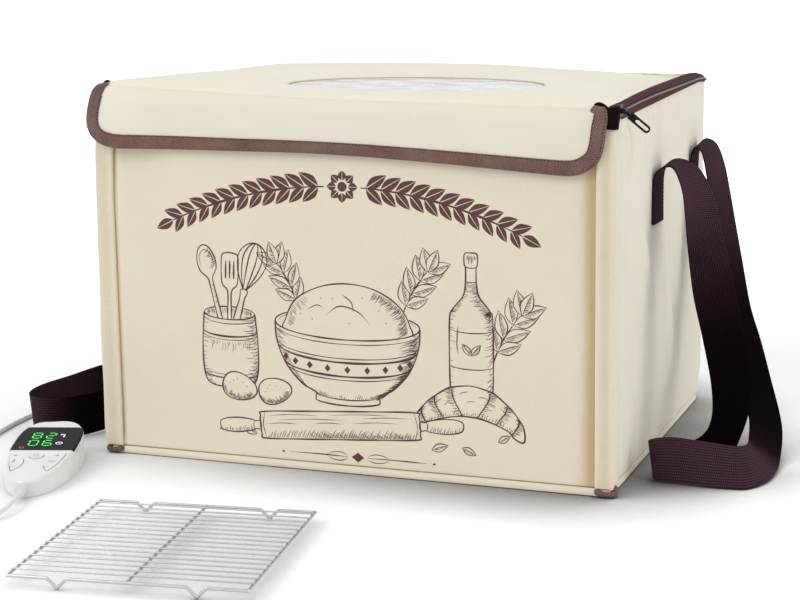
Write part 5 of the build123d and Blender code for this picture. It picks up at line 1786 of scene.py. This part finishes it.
LEFT_STRAP = (
    (-221.3, -46, 200, -221.3, -6, 200), (-221.3, -46, 236, -221.3, -6, 236),
    (-226, -46, 247, -226, -6, 247), (-236, -46, 251, -236, -7, 251), (-246, -47, 242, -246, -9, 242),
    (-251, -48, 220, -251, -10, 220), (-254, -50, 180, -254, -12, 180), (-255, -53, 135, -256, -15, 135),
    (-255, -57, 95, -257, -19, 90), (-256, -63, 62, -259, -27, 50), (-258, -75, 47, -261, -46, 19),
    (-260, -97, 39, -262, -88, 1.2), (-263, -125, 39, -264, -122, 1.2), (-270, -150, 39, -271, -147, 1.2),
    (-283, -167, 39, -283, -164, 1.2), (-300, -173, 39, -299, -170, 1.2), (-314, -166, 39, -312, -162, 1.2),
    (-323.5, -148, 39, -321.5, -146, 1.2), (-325.5, -120, 39, -324.5, -120, 1.2),
    (-320, -82, 39, -320, -82, 1.2), (-315, -35, 39, -315, -35, 1.2), (-303, 10, 39, -304, 14, 1.2),
    (-293, 45, 42, -294, 58, 6), (-284, 72, 55, -284, 93, 24), (-275, 86, 80, -275, 116, 60),
    (-268, 94, 115, -268, 130, 105), (-262, 100, 150, -262, 138, 148), (-257, 105, 185, -257, 143, 185),
    (-251, 109, 218, -251, 148, 218), (-244, 112, 240, -244, 151, 240), (-234, 113, 251, -234, 153, 251),
    (-225.5, 113, 247, -225.5, 153, 247), (-221.3, 113, 236, -221.3, 153, 236),
    (-221.3, 113, 200, -221.3, 153, 200))
STRAP_THICK = 1.7
RIGHT_SHADE = (0.3, 0.3, 0.2, 0, 0, 0.05, 0.3, 0.62, 0.88, 0.95, 0.97, 0.97, 0.94, 0.85, 0.5, 0.3, 0.15, 0.05,
               0, 0, 0, 0, 0.1, 0.75, 0.95, 0.97, 0.93, 0.85, 0.6, 0.35, 0.15, 0, 0, 0, 0.1, 0.3, 0.3)
LEFT_SHADE = (0.3, 0.3, 0.2, 0, 0, 0, 0.1, 0.3, 0.6, 0.85, 0.95, 0.98, 0.98, 0.95, 0.6, 0.3, 0.1, 0, 0, 0.1,
              0.5, 0.85, 0.97, 0.97, 0.85, 0.6, 0.45, 0.3, 0.15, 0, 0, 0.1, 0.3, 0.3)


# Half of the webbing's section: across as a share of its width, and out as a share of half its thickness.
STRAP_SECTION = (
    (-0.5, 0.0), (-0.496, 0.75), (-0.475, 1.12), (-0.44, 1.0), (-0.25, 0.96), (0.0, 0.94), (0.25, 0.96),
    (0.44, 1.0), (0.475, 1.12), (0.496, 0.75))
STRAP_WIDE, STRAP_SPANS, SEWN_SPANS = 38.5, 6, 7


def make_strap(side, name, stations, shade):
    """A carrying strap, and the crossed box of stitches at each of its ends."""
    line = smooth_curve(stations, STRAP_SPANS)
    low, high = line[:, :3], line[:, 3:]
    width = np.linalg.norm(high - low, axis=1)[:, None]
    across, middle = (high - low) / width, (low + high) / 2
    normal = np.cross(np.gradient(middle, axis=0), across)
    normal /= np.linalg.norm(normal, axis=1)[:, None]
    section = np.array(STRAP_SECTION + tuple((-a, -b) for a, b in STRAP_SECTION))
    lanes = section[:, 0] * STRAP_WIDE + np.where(section[:, 1] >= 0, 0, 60)
    rings, places = [], []
    for m, w, c, n, run in zip(middle, width, across, normal, run_length(middle)):
        rings.append(m + section[:, :1] * w * c + section[:, 1:] * STRAP_THICK / 2 * n)
        places.append(columns(run, lanes, 0))
    # painted shade for each point along the strap, from the shade tables
    dark = np.interp(np.arange(len(line)) / STRAP_SPANS, np.arange(len(shade)), shade)
    cut = Cut()
    cut.loft(rings, places, np.repeat(dark[:, None], len(section), 1))
    strap = cut.make(f"{name}_webbing_strap", STRAP_WEB)
    stand_in(strap, "webbing", f"{name}_strap")
    sewing = Cut()
    for first, last in ((0, SEWN_SPANS), (len(line) - 1 - SEWN_SPANS, len(line) - 1)):
        inset = across * 2.5
        corners = np.array([(low + inset)[first], (high - inset)[first], (high - inset)[last],
                            (low + inset)[last]])
        corners[:, 0] = side * 222.3
        for a, b in ((0, 1), (1, 2), (2, 3), (3, 0), (0, 2), (1, 3)):
            stitches(sewing, [corners[a], corners[b]], radius=0.3)
    thread = sewing.make(f"{name}_strap_stitching", THREAD_BROWN)
    stand_in(thread, "webbing")
    for piece in (strap, thread):
        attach(piece, f"{name}_rear_wall")
        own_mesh(piece)


make_strap(1, "right", RIGHT_STRAP, RIGHT_SHADE)
make_strap(-1, "left", LEFT_STRAP, LEFT_SHADE)


# ---- light and floor ----
FLOOR_GREY = (0.84, 0.84, 0.84)


def seen_directly(w):
    """One for rays that come straight from the camera or through gloss and glass."""
    path = w.node("ShaderNodeLightPath").outputs
    polished = w.math("MAXIMUM", path["Is Glossy Ray"], path["Is Transmission Ray"])
    return w.math("MAXIMUM", path["Is Camera Ray"], polished)


def make_stage():
    """A pale floor that runs out to plain white, with a painted shadow near the box: its colour and glow
    go dark where ambient occlusion finds it closed in, more so to the right.
    """
    bpy.ops.mesh.primitive_plane_add(size=40.0, location=(0, 0, -0.0002))
    floor = bpy.context.object
    floor.name = "floor"
    material, w, shader = new_material("pale_floor", Roughness=0.8, Specular_IOR_Level=0.2)
    spot = w.node("ShaderNodeNewGeometry").outputs["Position"]
    away = w.node("ShaderNodeVectorMath", (spot,), operation="LENGTH").outputs["Value"]
    # Painted shadow: ambient occlusion, deepened to the right, darkens the floor's colour and glow.
    closed = w.node("ShaderNodeAmbientOcclusion", {"Distance": 0.11}, samples=8).outputs["AO"]
    right = w.node("ShaderNodeSeparateXYZ", (spot,)).outputs[0]
    depth = w.span(right, -0.25, 0.2, 0.5, 2.2)
    clear = w.math("POWER", closed, depth)
    w.feed(shader["Base Color"], w.blend(clear, (0.03, 0.03, 0.03), FLOOR_GREY))
    strength = w.math("MULTIPLY", w.span(away, 0.45, 1.4, 0.26, 1.0), clear)
    glow = w.node("ShaderNodeEmission", {"Color": (1.0, 1.0, 1.0), "Strength": strength})
    nodes = material.node_tree.nodes
    both = w.node("ShaderNodeAddShader", (nodes["Principled BSDF"].outputs[0], glow.outputs[0]))
    bounce = w.node("ShaderNodeBsdfDiffuse", {"Color": FLOOR_GREY})
    mix = w.node("ShaderNodeMixShader", (seen_directly(w), bounce.outputs[0], both.outputs[0]))
    w.feed(nodes["Material Output"].inputs["Surface"], mix.outputs[0])
    floor.data.materials.append(material)


def make_lights():
    """A white surround that lights softly, and three softboxes."""
    world = bpy.data.worlds.new("studio")
    bpy.context.scene.world = world
    world.use_nodes = True
    w = Wiring(world.node_tree)
    background = world.node_tree.nodes["Background"]
    w.feed(background.inputs["Color"], (1.0, 1.0, 1.0))
    w.feed(background.inputs["Strength"], w.math("MULTIPLY_ADD", seen_directly(w), 0.38, 0.62))

    def softbox(name, place, aim, size, power):
        light = bpy.data.lights.new(name, "AREA")
        light.shape, light.size, light.energy = "SQUARE", size, power
        lamp = place_object(name, light)
        lamp.location = place
        lamp.rotation_euler = (Vector(aim) - Vector(place)).to_track_quat("-Z", "Y").to_euler()

    softbox("key_light", (-1.75, -2.1, 2.1), (-0.1, 0, 0.12), 1.6, 38.0)
    softbox("fill_light", (2.8, -0.15, 1.25), (0, 0, 0.12), 1.8, 23.0)
    softbox("top_light", (0.2, 0.4, 2.6), (0, 0, 0.1), 1.6, 6.0)


make_stage()
make_lights()
bpy.context.scene.view_settings.view_transform = "Standard"
